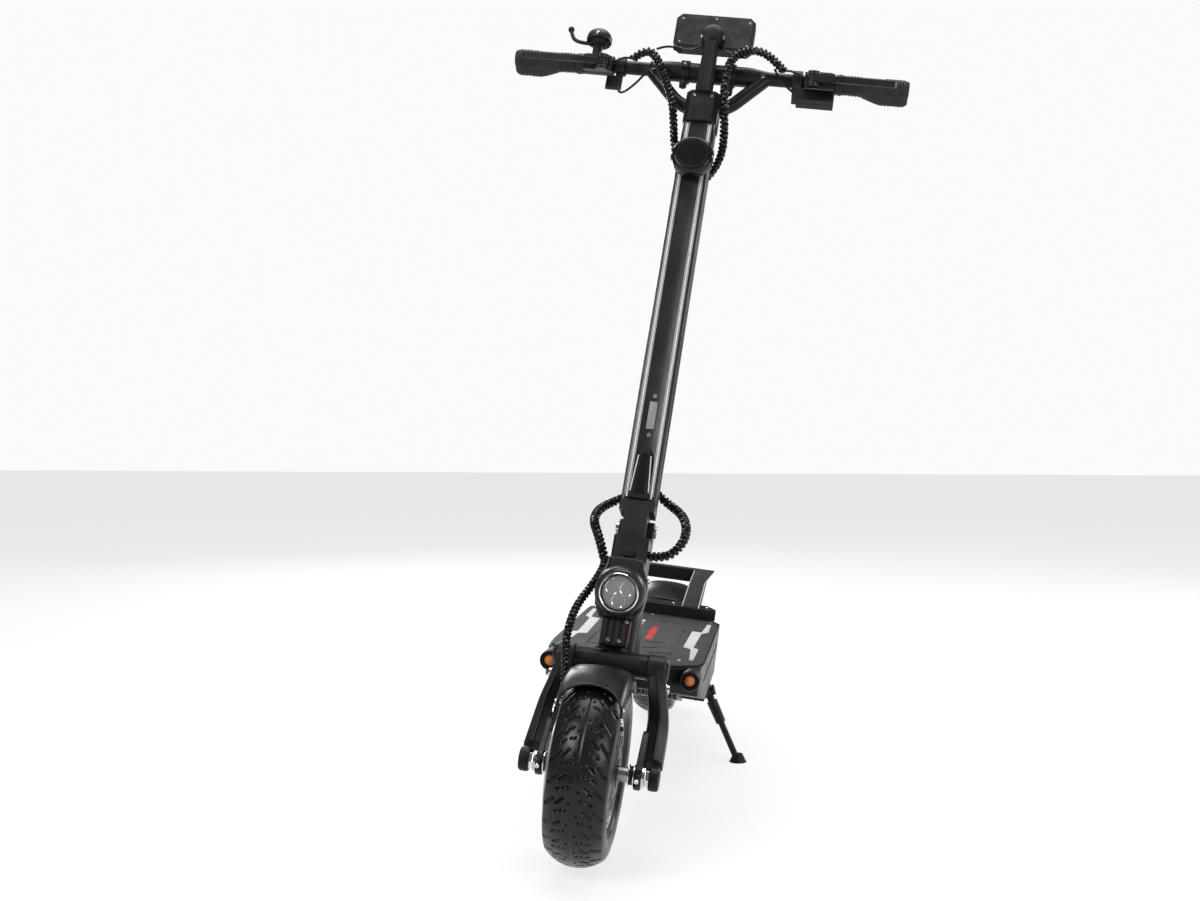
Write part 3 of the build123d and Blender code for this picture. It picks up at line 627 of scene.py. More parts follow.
def link_outline(centres, count=12):
    """The outline of a bent link: round at each (y, z, radius) centre, straight between them."""
    rings = []
    for (y0, z0, r0), (y1, z1, r1) in zip(centres, centres[1:]):
        along = math.atan2(z1 - z0, y1 - y0)
        first = [(y0 + r0 * math.cos(along + math.pi / 2 + math.pi * k / count),
                  z0 + r0 * math.sin(along + math.pi / 2 + math.pi * k / count)) for k in range(count + 1)]
        second = [(y1 + r1 * math.cos(along - math.pi / 2 + math.pi * k / count),
                   z1 + r1 * math.sin(along - math.pi / 2 + math.pi * k / count)) for k in range(count + 1)]
        rings.append(first + second)
    return rings


def hull(points):
    """The convex outline around some (y, z) points."""
    points = sorted(set((round(y, 4), round(z, 4)) for y, z in points))

    def half(ordered):
        chain = []
        for p in ordered:
            while len(chain) > 1 and ((chain[-1][0] - chain[-2][0]) * (p[1] - chain[-2][1])
                                      - (chain[-1][1] - chain[-2][1]) * (p[0] - chain[-2][0])) <= 0:
                chain.pop()
            chain.append(p)
        return chain[:-1]

    return half(points) + half(list(reversed(points)))


def arm(side, centres, ridge, space, name, body):
    """A cast arm: two flat-sided links with a raised ridge on the outer face."""
    inner, outer = 62, 78
    pieces = []
    for outline in link_outline(centres):
        pieces.append(prism(hull(outline), "x", *sorted((side * inner, side * outer))))
    make(name, joined(*pieces), space, body, "cast", 2.4, 3)
    raised = [prism(hull(outline), "x", *sorted((side * (outer - 1), side * (outer + 2.2))))
              for outline in link_outline([(y, z, r * ridge) for y, z, r in centres])]
    make(name + "_ridge", joined(*raised), space, body, "cast", 1.2)


def front_arm(side, label):
    """A cast boomerang arm with a ridge along its front face, its thin dropout plate and its bolts."""
    route = smooth_route([(64.5, 105, 252), (68, 97, 226), (78, 80, 190), (79.5, 58, 166),
                          (80.5, 17, 139.4)], 12)
    route = [Vector((side * p.x, p.y, p.z)) for p in even(route, 7)]
    sections = []
    for i in range(len(route)):
        part = i / (len(route) - 1)
        half, deep = 12.5 + 2.2 * math.sin(part * math.pi / 2), 17 + 3 * math.sin(part * math.pi) - 4 * part
        ridge = [(-half, -deep), (half * 0.7, -deep), (half, -deep * 0.7), (half, deep * 0.35),
                 (half * 0.42, deep * 0.95), (half * 0.24, deep * 1.08), (0, deep * 0.9),
                 (-half * 0.8, deep * 0.72),
                 (-half, deep * 0.4)]
        sections.append([(side * u, v) for u, v in ridge])
    make("front_arm_" + label, sweep(route, sections, (1, 0, 0)), UPRIGHT, "front_arm", "cast", 1.6, 3)
    boss = [(52, 17.5), (53, 19), (75, 19), (77.5, 17.5), (80, 15.5), (82, 13.5), (82, 8)]
    boss = lathe([(side * x, r) for x, r in boss], at=(0, 105, 252), segments=48)
    make("front_arm_boss_" + label, boss, UPRIGHT, "front_arm", "cast", 0.5)
    plate = [prism(hull(o), "x", *sorted((side * 62, side * 71)))
             for o in link_outline([(45, 162, 15), (0, 127, 18)])]
    clamp = block(*sorted((side * 63.5, side * 69.5)), -24, -14, 119, 135)
    make("front_dropout_" + label, joined(*plate, clamp), UPRIGHT, "front_arm", "cast", 1.5, 3)
    bolts = joined(screw((side * 81.5, 100, 226), (side, 0, 0), 6.6, 4.6),
                   rod((side * 76, 100, 226), (side * 82, 100, 226), 8.2),
                   screw((side * 66.5, -24, 127), (0, -1, 0), 3.2, 2.5),
                   screw((side * 71, 30, 146), (side, 0, 0), 3.2, 2))
    make("front_arm_bolts_" + label, bolts, UPRIGHT, "front_arm", "chrome")


REAR_ARM = [(785, 190, 24), (930, 127, 20)]
for side, label in ((-1, "right"), (1, "left")):
    front_arm(side, label)
    arm(side, REAR_ARM, 0.55, UPRIGHT, "rear_arm_" + label, "rear_arm")
    cap = [(side * x, radius) for x,
           radius in ((78, 15), (80.5, 15.5), (83, 14), (83, 9), (81.6, 8), (81.6, 2))]
    make("rear_pivot_cap_" + label, lathe(cap, at=(0, 785, 190), segments=40), UPRIGHT, "rear_arm", "cast",
         0.4)
    make("rear_pivot_bolt_" + label, screw((side * 81.6, 785, 190), (side, 0, 0), 6.5, 4), UPRIGHT,
         "rear_arm", "chrome")
make("front_pivot_shaft", drum(9, -52, 52, at=(0, 105, 252)), UPRIGHT, "front_arm", "steel",
     stands_for=("front_arms",))
make("rear_pivot_shaft", drum(9, -62, 62, at=(0, 785, 190)), UPRIGHT, "rear_arm", "steel",
     stands_for=("rear_arms",))


def calipers():
    for end, space, (y0, y1) in (("front", FRONT_AXLE, (22, 52)), ("rear", REAR_AXLE, (-54, -24))):
        soften(end + "_caliper", "cast", 1.0)
        fins = [block(-62.6, -59.6, y0 + 2, y1 - 2, 35 + 5 * k, 37.6 + 5 * k) for k in range(6)]
        make(end + "_caliper_fins", joined(*fins), space, end + "_arm", "cast", 0.4)
        across = (y0 + y1) / 2
        bolts = joined(screw((-61, across, 66.5), (-1, 0, 0), 4.2, 3),
                       screw((-51, y0 + 4, 70), (0, 0, 1), 2.4, 2),
                       rod((-52, across + 3, 69), (-52, across + 3, 78), 4.2),
                       rod((-52, across + 3, 72), (-52, across + 3, 76), 6.4, segments=6))
        make(end + "_banjo_bolt", bolts, space, end + "_arm", "chrome")


calipers()


def mudguard(name, node, space, body, first, last, half, skirt):
    """A crowned shell over the tyre; skirt is how many degrees further its sides reach at the front."""
    rings = []
    across_steps, along_steps = 24, 44
    for k in range(along_steps + 1):
        ring = []
        for i in range(across_steps + 1):
            u = 2 * i / across_steps - 1
            start = first - skirt * abs(u) ** 2.4
            angle = math.radians(start + (last - start) * k / along_steps)
            flare = 2.6 * math.exp(-k / 2.2) * (1 - abs(u))
            radius = 136.4 - 19 * (1 - math.sqrt(1 - (0.97 * u) ** 2)) + flare
            ring.append((half * math.sin(u * 1.4) / math.sin(1.4), -radius * math.cos(angle),
                         radius * math.sin(angle)))
        rings.append(ring)
    return make(name, skin(rings, closed=False, caps=False), space, body, "visor", stands_for=(node,),
                solid=2.2)


mudguard("front_mudguard", "front_fender", FRONT_AXLE, "front_arm", 64, 134, 43.5, 17)
mudguard("rear_mudguard", "rear_fender", REAR_AXLE, "rear_arm", 54, 164, 45, 3)
for side, label in ((-1, "right"), (1, "left")):
    tab = block(*sorted((side * 40, side * 54)), 82, 92, 100, 109)
    make("front_mudguard_tab_" + label, tab, FRONT_AXLE, "front_arm", "powder", 0.8)
    stay = joined(block(*sorted((side * 56, side * 59)), -13, 13, 15, 133),
                  block(*sorted((side * 42, side * 59)), -13, 13, 132.2, 135),
                  block(*sorted((side * 56, side * 62)), -13, 6, 15, 19))
    make("rear_mudguard_stay_" + label, stay, REAR_AXLE, "rear_arm", "powder", 0.8)
    bolts = joined(screw((side * 43.4, -72, 101), (side, 0, 0), 2.4, 1.8),
                   screw((side * 43.4, -84, 91), (side, 0, 0), 2.4, 1.8))
    make("front_mudguard_bolts_" + label, bolts, FRONT_AXLE, "front_arm", "chrome")
tail = joined(block(-24, 24, 126, 134, 30, 44))
make("tail_lamp", tail, REAR_AXLE, "rear_arm", "red", 1.6)


# Deck


def flat(outline, low, high, mirror=False):
    """A plate with an (x, y) outline, or its mirror image."""
    if mirror:
        outline = [(-x, y) for x, y in reversed(outline)]
    return prism(outline, "z", low, high)


def rounded(outline, radii):
    """An outline with its corners cut to arcs; each radius is how far the arc starts from its corner at most."""
    made = []
    count = len(outline)
    for i, radius in zip(range(count), radii):
        before, at, after = (Vector(outline[(i + k) % count]) for k in (-1, 0, 1))
        reach = min(radius, 0.45 * (before - at).length, 0.45 * (after - at).length)
        a = at + (before - at).normalized() * reach
        b = at + (after - at).normalized() * reach
        for k in range(7):
            t = k / 6
            made.append(tuple(a * (1 - t) ** 2 + at * 2 * t * (1 - t) + b * t ** 2))
    return made


def deck():
    soften("deck_shell", "powder", 1.6)
    corner = [(66, 215), (114.5, 263), (118.8, 300), (118.8, 655), (104, 682), (40, 683)]
    outline = rounded([(x, y) for x, y in corner] + [(-x, y) for x, y in reversed(corner)],
                      (60, 60, 60, 22, 22, 40) * 2)
    make("deck_rubber", prism(outline, "z", DECK_TOP, MAT_TOP), UPRIGHT, "frame", "mat", 1.2, 3,
         ("deck_mat",))
    bolt = [(101, 640), (97, 549), (81, 546), (79, 388), (92, 379), (97, 286), (103, 286), (104, 386),
            (95, 394),
            (98, 537), (108, 556), (108, 640)]
    top = MAT_TOP + 0.25
    make("mat_bolt_graphic_left", flat(bolt, MAT_TOP - 1, top), UPRIGHT, "frame", "silver")
    make("mat_bolt_graphic_right", flat(bolt, MAT_TOP - 1, top, True), UPRIGHT, "frame", "silver")
    bars = [flat([(-18, y), (-6, y + 4), (-6, y + 26), (-18, y + 22)], MAT_TOP - 1, top)
            for y in range(436, 580, 34)]
    make("mat_bar_graphic", joined(*bars), UPRIGHT, "frame", "silver")
    red = flat([(13, 414), (24, 414), (24, 540), (13, 540)], MAT_TOP - 1, top)
    make("mat_red_graphic", red, UPRIGHT, "frame", "red")
    grooves = []
    for side in (-1, 1):
        for x0, y0, x1, y1 in ((17, 384, 47, 400), (17, 334, 42, 349), (30, 300, 68, 318),
                               (-60, 600, -20, 618)):
            grooves.append(rod((side * x0, y0, MAT_TOP), (side * x1, y1, MAT_TOP), 0.9, segments=8,
                               edge=0.2))
    for x in (-66, 66):
        grooves.append(rod((x, 300, MAT_TOP), (x, 640, MAT_TOP), 0.7, segments=8, edge=0.2))
    make("mat_grooves", joined(*grooves), UPRIGHT, "frame", "plastic")
    studs = [screw((x, y, MAT_TOP - 0.4), (0, 0, 1), 3.2, 1.2)
             for x, y in ((84, 273), (-84, 273), (106, 668), (-106, 668), (0, 232), (0, 668))]
    make("mat_screws", joined(*studs), UPRIGHT, "frame", "chrome")
    soften("deck_bottom_cover", "cast", 0.8)
    under = [screw((x, y, 143.6), (0, 0, -1), 2.8, 1.4) for x in (-108, 108) for y in (450, 540, 630)]
    make("cover_screws", joined(*under), UPRIGHT, "frame", "steel")
    slope = (198 - 148) / (430 - 212)
    fins = [prism([(300, 198 - slope * 88 - 9), (424, 198 - slope * 212 - 9), (424, 198 - slope * 212 + 2),
                   (300, 198 - slope * 88 + 2)], "x", x - 1.4, x + 1.4) for x in range(-84, 85, 7)]
    make("nose_cooling_fins", joined(*fins), UPRIGHT, "frame", "alloy", 0.3)


deck()


LAMP_X, LAMP_Z = 106, 218.5  # the turn signals' middles


def lamps():
    pieces, lenses = [], []
    for side in (-1, 1):
        shell = [(222, 11.5), (214, 12.6), (213.4, 14), (215, 15), (246, 14.6), (262, 13.4), (267, 11),
                 (268, 6), (268, 1)]
        pieces.append(lathe(shell, "y", (side * LAMP_X, 0, LAMP_Z), 40))
        pieces.append(lathe([(222, 0.3), (222, 11.4), (214.6, 11.4), (214.6, 10), (219, 8.6), (221, 8.4)],
                            "y",
                            (side * LAMP_X, 0, LAMP_Z), 40))
        dome = [(221, 8.3), (216, 8.2), (213.5, 7), (211.8, 5), (210.9, 2.5), (210.6, 0.2)]
        lenses.append(lathe(dome, "y", (side * LAMP_X, 0, LAMP_Z), 32))
    make("lamp_housings", joined(*pieces), UPRIGHT, "frame", "plastic", stands_for=("turn_signals",))
    make("lamp_lenses", joined(*lenses), UPRIGHT, "frame", "amber")
    bulbs = [lathe([(222, 0.2), (222, 4), (216, 4.6), (213.4, 3.6), (212.2, 1.8), (211.9, 0.2)], "y",
                   (side * LAMP_X, 0, LAMP_Z), 24) for side in (-1, 1)]
    make("lamp_bulbs", joined(*bulbs), UPRIGHT, "frame", "bulb")


lamps()


def riser():
    """The rear handle: raked posts with silver edges on a wedge-shaped base."""
    soften("rear_riser", "plastic", 1.6)
    edges = []
    for side in (-1, 1):
        for foot, bend, head in (((45, 691.2, 240), (53, 755.4, 294), (57, 777.4, 312.6)),
                                 ((77, 691.2, 246), (81, 755.4, 294), (92, 777.4, 311.6))):
            route = [Vector((side * x, y, z)) for x, y, z in (foot, bend, head)]
            edges.append(sweep(route, oval(2.6, 1.2, 8, 4)))
    make("riser_silver_edges", joined(*edges), UPRIGHT, "frame", "silver")
    pads = [block(*sorted((side * 84, side * 104)), 689.2, 691, 239, 250) for side in (-1, 1)]
    make("riser_base_pads", joined(*pads), UPRIGHT, "frame", "plastic", 0.5)
    bolts = [screw((side * x, 716, 254), (0, 0, 1), 3.4, 2) for side in (-1, 1) for x in (92, 30)]
    make("riser_bolts", joined(*bolts), UPRIGHT, "frame", "chrome")


riser()

# Head and stem


def headlight():
    """A round lamp: bezel, three reflector cups with their chips, and a domed lens."""
    at = (0, 0, 352)
    bezel = [(99, 23.8), (95, 24), (92.2, 24.8), (91, 26.4), (91.6, 29), (95.4, 33), (102, 35.6),
             (114, 36.6),
             (124, 35.4), (129, 30), (129, 12)]
    make("headlight_bezel", lathe(bezel, "y", at, 64), UPRIGHT, "steering", "satin")
    groove = [(90.9, 26), (90.4, 26.6), (90.6, 27.6), (91.6, 28.4)]
    make("headlight_rim", lathe(groove, "y", at, 64, ring=True), UPRIGHT, "steering", "chrome")
    back = lathe([(109, 0.3), (109, 22.6), (97.2, 23.9), (97.2, 24.4), (110, 24.6), (110, 0.3)], "y", at,
                 48)
    make("headlight_back", back, UPRIGHT, "steering", "alloy")
    cups, chips = [], []
    for turn in (30, 150, 270):
        x = 11.9 * math.cos(math.radians(turn))
        z = 352 + 11.9 * math.sin(math.radians(turn))
        dish = [(108.8, 10.1), (98.4, 10.1), (97.6, 9.7), (98, 9.1), (100, 8.8), (103.2, 7.4), (105.8, 5.2),
                (105.8, 4.2), (104.6, 4), (104.6, 3.2), (107.6, 3), (108, 0.3)]
        cups.append(lathe(dish, "y", (x, 0, z), 32))
        chips.append(lathe([(107, 2.9), (103.6, 2.7), (102.2, 1.9), (101.8, 0.2)], "y", (x, 0, z), 16))
    make("headlight_reflector", joined(*cups), UPRIGHT, "steering", "reflector")
    make("headlight_chips", joined(*chips), UPRIGHT, "steering", "led")
    glass = [(97, 0.2), (97, 23.7), (95, 23.9), (93.6, 22), (92.2, 16), (91.4, 8), (91.2, 0.2)]
    make("headlight_dome", lathe(glass, "y", at, 64), UPRIGHT, "steering", "lens",
         stands_for=("headlight_lens",))
    shoulder = [(26, 95), (28, 82), (35, 66), (37, 46), (34, 24), (27, 9)]
    shoulder = shoulder + [(-x, along) for x, along in reversed(shoulder)]
    make("headlight_shoulders", prism(shoulder, "y", -55, -33), STEM, "steering", "satin", 4, 4)
    soften("headlight_housing", "satin", 1.6)
    ribs = []
    for k in range(5):
        t = math.radians(112 + 13 * k)
        rib = block(-1.2, 1.2, 96, 124, 31, 34)
        turn = Matrix.Translation((0, 0, 352)) @ Matrix.Rotation(math.pi / 2 - t, 4, "Y")
        ribs.append(moved(rib, turn))
    make("headlight_ribs", joined(*ribs), UPRIGHT, "steering", "satin", 0.5)
    trim = [block(side * 19.4 - 0.8, side * 19.4 + 0.8, -44, -36, -24, 22) for side in (-1, 1)]
    make("column_copper_trim", joined(*trim), STEM, "steering", "rust", 0.3)
    heads = [screw((x, -50.6, s), (0, -1, 0), 2.8, 1.8) for x, s in ((-8, -24), (8, -24), (15, 4))]
    make("column_screws", joined(*heads), STEM, "steering", "chrome")


headlight()


def stem():
    half = [(0, -20), (6, -20.3), (11, -21), (14.4, -21.9), (15.4, -22), (16.3, -21.9), (16.5, -20.3),
            (19.5, -20.3),
            (19.7, -21.9), (22.4, -22), (25, -20.6), (26, -18), (26, -9), (24.9, -7.6), (24.9, 7.6),
            (26, 9),
            (26, 18), (24.6, 21.2), (21.5, 22), (7, 22), (6, 20.8), (0, 20.6)]
    outline = half + [(-x, b) for x, b in reversed(half[1:-1])]
    make("stem_profile", prism(outline, "z", STEM_FOOT, STEM_TOP), STEM, "stem", "stem", 0.3, 1,
         ("stem_tube",))
    soften("stem_light_strips", "strip", 0.4)
    lines = []
    for side in (-1, 1):
        lines.append(block(side * 15.3 - 0.35, side * 15.3 + 0.35, -22.3, -21.6, STEM_FOOT + 8,
                           STEM_TOP - 2))
        lines.append(block(side * 20.6 - 0.3, side * 20.6 + 0.3, -22.3, -21.6, STEM_FOOT + 8, STEM_TOP - 2))
    make("stem_bright_edges", joined(*lines), STEM, "stem", "silver")
    plate = [(-6, 302), (6, 302), (6, 346), (-6, 346)]
    make("stem_plate", prism([(x, s) for x, s in plate], "y", -21.6, -19.6), STEM, "stem", "plate", 0.5)
    make("stem_plate_screws", joined(screw((0, -20.2, 293), (0, -1, 0), 3.2, 2),
                                     screw((0, -20.2, 355), (0, -1, 0), 3.2, 2)),
         STEM, "stem", "chrome")
    cover = [(-16, 192), (16, 192), (14.5, 214), (10.6, 256), (8.4, 266), (4.4, 272), (0, 273.6),
             (-4.4, 272),
             (-8.4, 266), (-10.6, 256), (-14.5, 214)]
    make("stem_name_cover", prism(cover, "y", -27, -20.5), STEM, "stem", "plastic", 1.4, 3)
    raised = [(x * 0.55, 230 + (s - 230) * 0.8) for x, s in cover]
    make("stem_name_panel", prism(raised, "y", -28.2, -26), STEM, "stem", "gloss", 0.8, 2)
    trims = [rod((side * 13.6, -27, 202), (side * 9.3, -27, 258), 0.9, segments=8,
                 edge=0.2) for side in (-1, 1)]
    make("stem_cover_trims", joined(*trims), STEM, "stem", "silver")
    soften("fold_hinge_head", "satin", 1.4)
    soften("stem_collar", "powder", 1.4)
    clamps = [screw((x, 27, s), (0, 1, 0), 3.4, 3) for x in (-18, 18) for s in (844, 870)]
    clamps += [screw((x, -27, 876), (0, -1, 0), 2.2, 1) for x in (-14, 14)]
    make("collar_screws", joined(*clamps), STEM, "stem", "chrome")


stem()


def horn():
    body = [(-22, 12), (-26.6, 12), (-26.8, 29), (-29, 32.6), (-31, 33), (-43, 33), (-45, 32.2),
            (-48.6, 29.6),
            (-50, 27.6), (-50, 26.2), (-48.9, 25.4), (-48.9, 0.3)]
    make("horn_body", lathe(body, "y", (0, 0, 756), 64), STEM, "stem", "gloss", stands_for=("horn",))
    ring = [(-48.8, 25.2), (-49.4, 24.6), (-49.4, 23.4), (-48.8, 22.8)]
    make("horn_ring", lathe(ring, "y", (0, 0, 756), 64, ring=True), STEM, "stem", "plastic")
    notches = []
    for side in (-1, 1):
        for low in (-9, 2.6):
            notches.append(block(*sorted((side * 29.5, side * 33.6)), -46.6, -35, 756 + low,
                                 756 + low + 6.4))
    make("horn_notches", joined(*notches), STEM, "stem", "plastic", 0.8)


horn()

# Handlebar and what is on it


def bar():
    x = [(-318, 9.4), (-318, 10.8), (-317.6, 11), (-101, 11), (-88, 12.6), (-72, 15.4), (-62, 16)]
    profile = x + [(-a, r) for a, r in reversed(x)]
    make("handlebar_tube", lathe(profile, "x", (0, 0, BAR_S), 40), STEM, "stem", "powder",
         stands_for=("handlebar",))
    for side, label in ((-1, "right"), (1, "left")):
        route = smooth_route([(side * 94, 0, 931), (side * 84, 0, 920), (side * 62, 0, 896),
                              (side * 42, 0, 874),
                              (side * 20, 0, 866)], 12)
        make("bar_brace_" + label, sweep(route, oval(22, 22, 24)), STEM, "stem", "powder")
        bead = [Vector((side * (87 + 13 * math.cos(t)), 9.5 * math.sin(t) * 1.15,
                        926 - 1.5 * math.cos(t) + 4 * abs(math.sin(t))))
                for t in (2 * math.pi * k / 32 for k in range(33))]
        make("brace_weld_" + label, sweep(bead, oval(3, 3, 8)), STEM, "stem", "powder")
        make("brace_bolt_" + label, screw((side * 90, -10.4, 931), (0, -1, 0), 3.4, 2.4), STEM, "stem",
             "chrome")
        x0 = side * 38
        clamp = lathe([(x0 - 7, 16.2), (x0 - 7, 18), (x0 - 6, 19), (x0 + 6, 19), (x0 + 7, 18),
                       (x0 + 7, 16.2)], "x",
                      (0, 0, BAR_S), 32, ring=True)
        drop = 18 if side < 0 else 25
        knob = joined(rod((x0, -6, 917), (x0, -9, 917 - drop * 0.55), 4.6),
                      lathe([(917 - drop, 3), (918 - drop, 6), (917 - drop * 0.5, 6.6),
                             (918 - drop * 0.4, 5)], "z",
                            (x0, -9, 0), 24))
        make("bar_clamp_" + label, joined(clamp, knob, block(x0 - 6, x0 + 6, -25, -16, 928, 940)), STEM,
             "stem", "plastic", 0.6)
        make("bar_clamp_bolt_" + label, screw((x0, -25, 934), (0, -1, 0), 2.6, 1.8), STEM, "stem", "steel")


bar()


def display():
    arm = [(882.4, 14), (900, 14), (940, 12.6), (972, 11.6), (987, 11.4)]
    rings = []
    for s, half in arm:
        rings.append([(-half, -22, s), (-half + 2, -18.2, s), (half - 2, -18.2, s), (half, -22, s),
                      (half, -30, s),
                      (half * 0.55, -33.4, s), (half * 0.3, -32.2, s), (-half * 0.3, -32.2, s),
                      (-half * 0.55, -33.4, s),
                      (-half, -30, s)])
    make("display_arm", skin(rings), STEM, "stem", "powder", 1.2, 2, ("display_mount",))
    disc = [(-34, 3), (-34, 11), (-33.2, 13), (-31.6, 14.4), (-31, 17), (-29.6, 18), (-14, 18), (-11, 19),
            (-8.4, 19),
            (-8.2, 12)]
    make("display_disc", lathe(disc, "y", (0, 0, 992), 48), STEM, "stem", "powder")
    soften("display_housing", "plastic", 1.8, 3)
    back = [(-60, 981), (60, 981), (62, 985), (62, 1033), (55, 1039), (-55, 1039), (-62, 1033), (-62, 985)]
    make("display_back_panel", prism(back, "y", -9, -7.4), STEM, "stem", "cast", 0.6)
    lip = [(-61, 990), (61, 990), (61, 1039), (-61, 1039)]
    make("display_bezel", prism(lip, "y", 9.4, 10.4), STEM, "stem", "gloss", 0.4)
    soften("display_screen", "screen", 0.5)
    heads = [screw((x, -9, s), (0, -1, 0), 2, 0.9) for x,
             s in ((-56, 1032), (56, 1032), (0, 1035), (-56, 987), (56, 987))]
    heads += [screw((side * 17.6, -22, 990), (side, -0.5, 0), 3, 2.2) for side in (-1, 1)]
    make("display_screws", joined(*heads), STEM, "stem", "chrome")
    soften("power_button", "red", 0.6)


display()


def grip(side, label):
    """A ribbed ergonomic grip whose outer end swells into a palm rest."""
    rings = []
    count = 44
    start, end = 213, 325
    steps = 112
    for k in range(steps + 1):
        x = start + (end - start) * k / steps
        ring = []
        palm = min(max((x - 238) / 50, 0), 1)
        palm = palm * palm * (3 - 2 * palm)
        tail = max(0, (x - 317) / 8)
        for i in range(count):
            t = 2 * math.pi * i / count
            radius = 15.2 + (1.6 if x < 219 else 0)
            bulge = math.exp(-((math.atan2(math.sin(t - 0.62), math.cos(t - 0.62))) / 0.42) ** 2)
            radius += 12.5 * bulge * palm
            if 220 < x < 252:
                radius += 0.9 * (1 if (x - 220) % 5.2 < 2.6 else -0.3)
            elif 252 <= x < 288:
                radius += 0.8 * (1 if math.cos(3 * (t - math.pi)) > 0.5 else -0.3)
            elif x >= 288 and x < 317:
                bow = x + 5 * math.cos(t - math.pi)
                radius += 0.9 * (1 if bow % 5.2 < 2.6 else -0.3)
            radius *= 1 - 0.16 * tail ** 2
            ring.append((side * x, radius * math.cos(t), BAR_S - radius * math.sin(t)))
        rings.append(ring)
    make("grip_" + label, skin(rings), STEM, "stem", "grip", stands_for=("grips",) if side > 0 else ())
    plug = lathe([(side * a, r) for a, r in ((323.5, 12.4), (325, 12), (325.4, 10), (325.4, 1))], "x",
                 (0, 0, BAR_S), 32)
    make("grip_end_" + label, plug, STEM, "stem", "plastic")
    collar = lathe([(side * a, r) for a, r in ((207, 14), (207.4, 16.2), (212.6, 16.4), (213, 14))], "x",
                   (0, 0, BAR_S), 36)
    make("grip_lock_ring_" + label, collar, STEM, "stem", "satin")


for side, label in ((-1, "right"), (1, "left")):
    grip(side, label)


def bell():
    at = (-186, -24, 0)
    dome = [(960.6, 18), (960.8, 20.4), (963, 21.4), (969, 21.4), (974, 19.4), (978.4, 15.6), (981, 10.6),
            (982.2, 5),
            (982.4, 0.3)]
    make("bell_dome", lathe(dome, "z", at, 18), STEM, "stem", "satin", 0.7, stands_for=("bell",))
    post = [(934, 7.6), (946, 8), (953, 8), (955, 12), (959, 14), (960.8, 15)]
    make("bell_post", lathe(post, "z", at, 24), STEM, "stem", "plastic")
    make("bell_screw", screw((-186, -45, 966), (0, -1, 0), 2.4, 1), STEM, "stem", "chrome")
    thumb = smooth_route([(-190, -24, 957.6), (-208, -24, 957.6), (-226, -24, 961), (-233, -24, 971),
                          (-236, -24, 981)], 10)
    ring = lathe([(955.3, 4.4), (955.3, 8), (959.9, 8), (959.9, 4.4)], "z", at, 32, ring=True)
    lever = joined(ring, sweep(even(thumb, 2), oval(6.4, 6.4, 12)), ball(5.4, (-236, -24, 981.8)))
    make("bell_thumb_lever", lever, STEM, "bell_lever", "plastic", stands_for=("bell_lever",))


bell()


def hand_controls():
    soften("brake_master_cylinders", "satin", 1.6)
    for node in ("brake_lever_left", "brake_lever_right"):
        soften(node, "cast", 1.8, 3)
    drop = Matrix.Translation((0, 0, BAR_S)) @ Matrix.Rotation(math.radians(LEVER_DROP), 4, "X")
    drop = STEM @ drop @ Matrix.Translation((0, 0, -BAR_S))
    lids, screws = [], []
    for side in (-1, 1):
        lids.append(block(*sorted((side * 162, side * 202)), -30, -8, 945.4, 947.6))
        screws += [screw((side * x, -19, 947.4), (0, 0, 1), 2.2, 1) for x in (166, 198)]
        screws += [screw((side * x, -33, 934), (0, -1, 0), 2.6, 1.8) for x in (188, 202)]
        screws.append(screw((side * 172, -44, 946), (0, 0, 1), 4.2, 1.8))
    make("brake_reservoir_lids", joined(*lids), drop, "stem", "plastic", 0.8)
    make("brake_screws", joined(*screws), drop, "stem", "steel")
    soften("throttle_trigger", "plastic", 1.8, 3)
    soften("switch_pod", "plastic", 1.6, 3)
    seam = joined(block(148, 208, -0.4, 0.4, 893.7, 914.3), screw((154, -12, 900), (0, -1, 0), 2, 1),
                  screw((202, -12, 900), (0, -1, 0), 2, 1))
    make("switch_pod_seam", seam, STEM, "stem", "gloss")
    soften("horn_button", "red", 0.7)
    soften("turn_switch", "plastic", 0.8)
    soften("light_switch", "plastic", 0.8)


hand_controls()

# Cables


def loom(name, points, space, body, core=3.6, strand=6.4, pitch=7.2, nodes=()):
    """A cable bundle in a spiral wrap along its route."""
    line = smooth_route(points, 14)
    core_route = even(line, 4)
    pieces = [make(name + "_core", sweep(core_route, oval(core * 2, core * 2, 16)), space, body, "plastic",
                   stands_for=nodes)]
    pieces.append(make(name + "_wrap", helix(line, core + 0.6, pitch, strand), space, body, "wrap"))
    return pieces


UPPER_RIGHT = [(-126, -22, 936), (-104, -28, 956), (-82, -32, 934), (-64, -30, 896), (-48, -30, 862),
              (-42, -14, 828), (-40, 14, 808), (-30, 40, 786), (-10, 50, 768), (-10, 46, 752),
              (-10, 22, 752)]
UPPER_LEFT = [(124, -22, 936), (98, -28, 962), (64, -30, 968), (36, -36, 944), (32, -42, 896),
              (38, -36, 848),
               (42, -10, 818), (40, 18, 798), (28, 42, 778), (10, 50, 760), (10, 46, 742), (10, 22, 742)]
LOWER_LEFT = [(13, 22, 226), (13, 46, 226), (38, 56, 212), (64, 36, 192), (76, 6, 162), (72, -8, 134),
              (52, -8, 112), (26, -8, 112)]
LOWER_RIGHT = [(-13, 22, 226), (-13, 46, 226), (-36, 56, 210), (-60, 38, 190), (-66, 4, 160),
               (-48, -14, 128),
               (-36, -15, 98)]


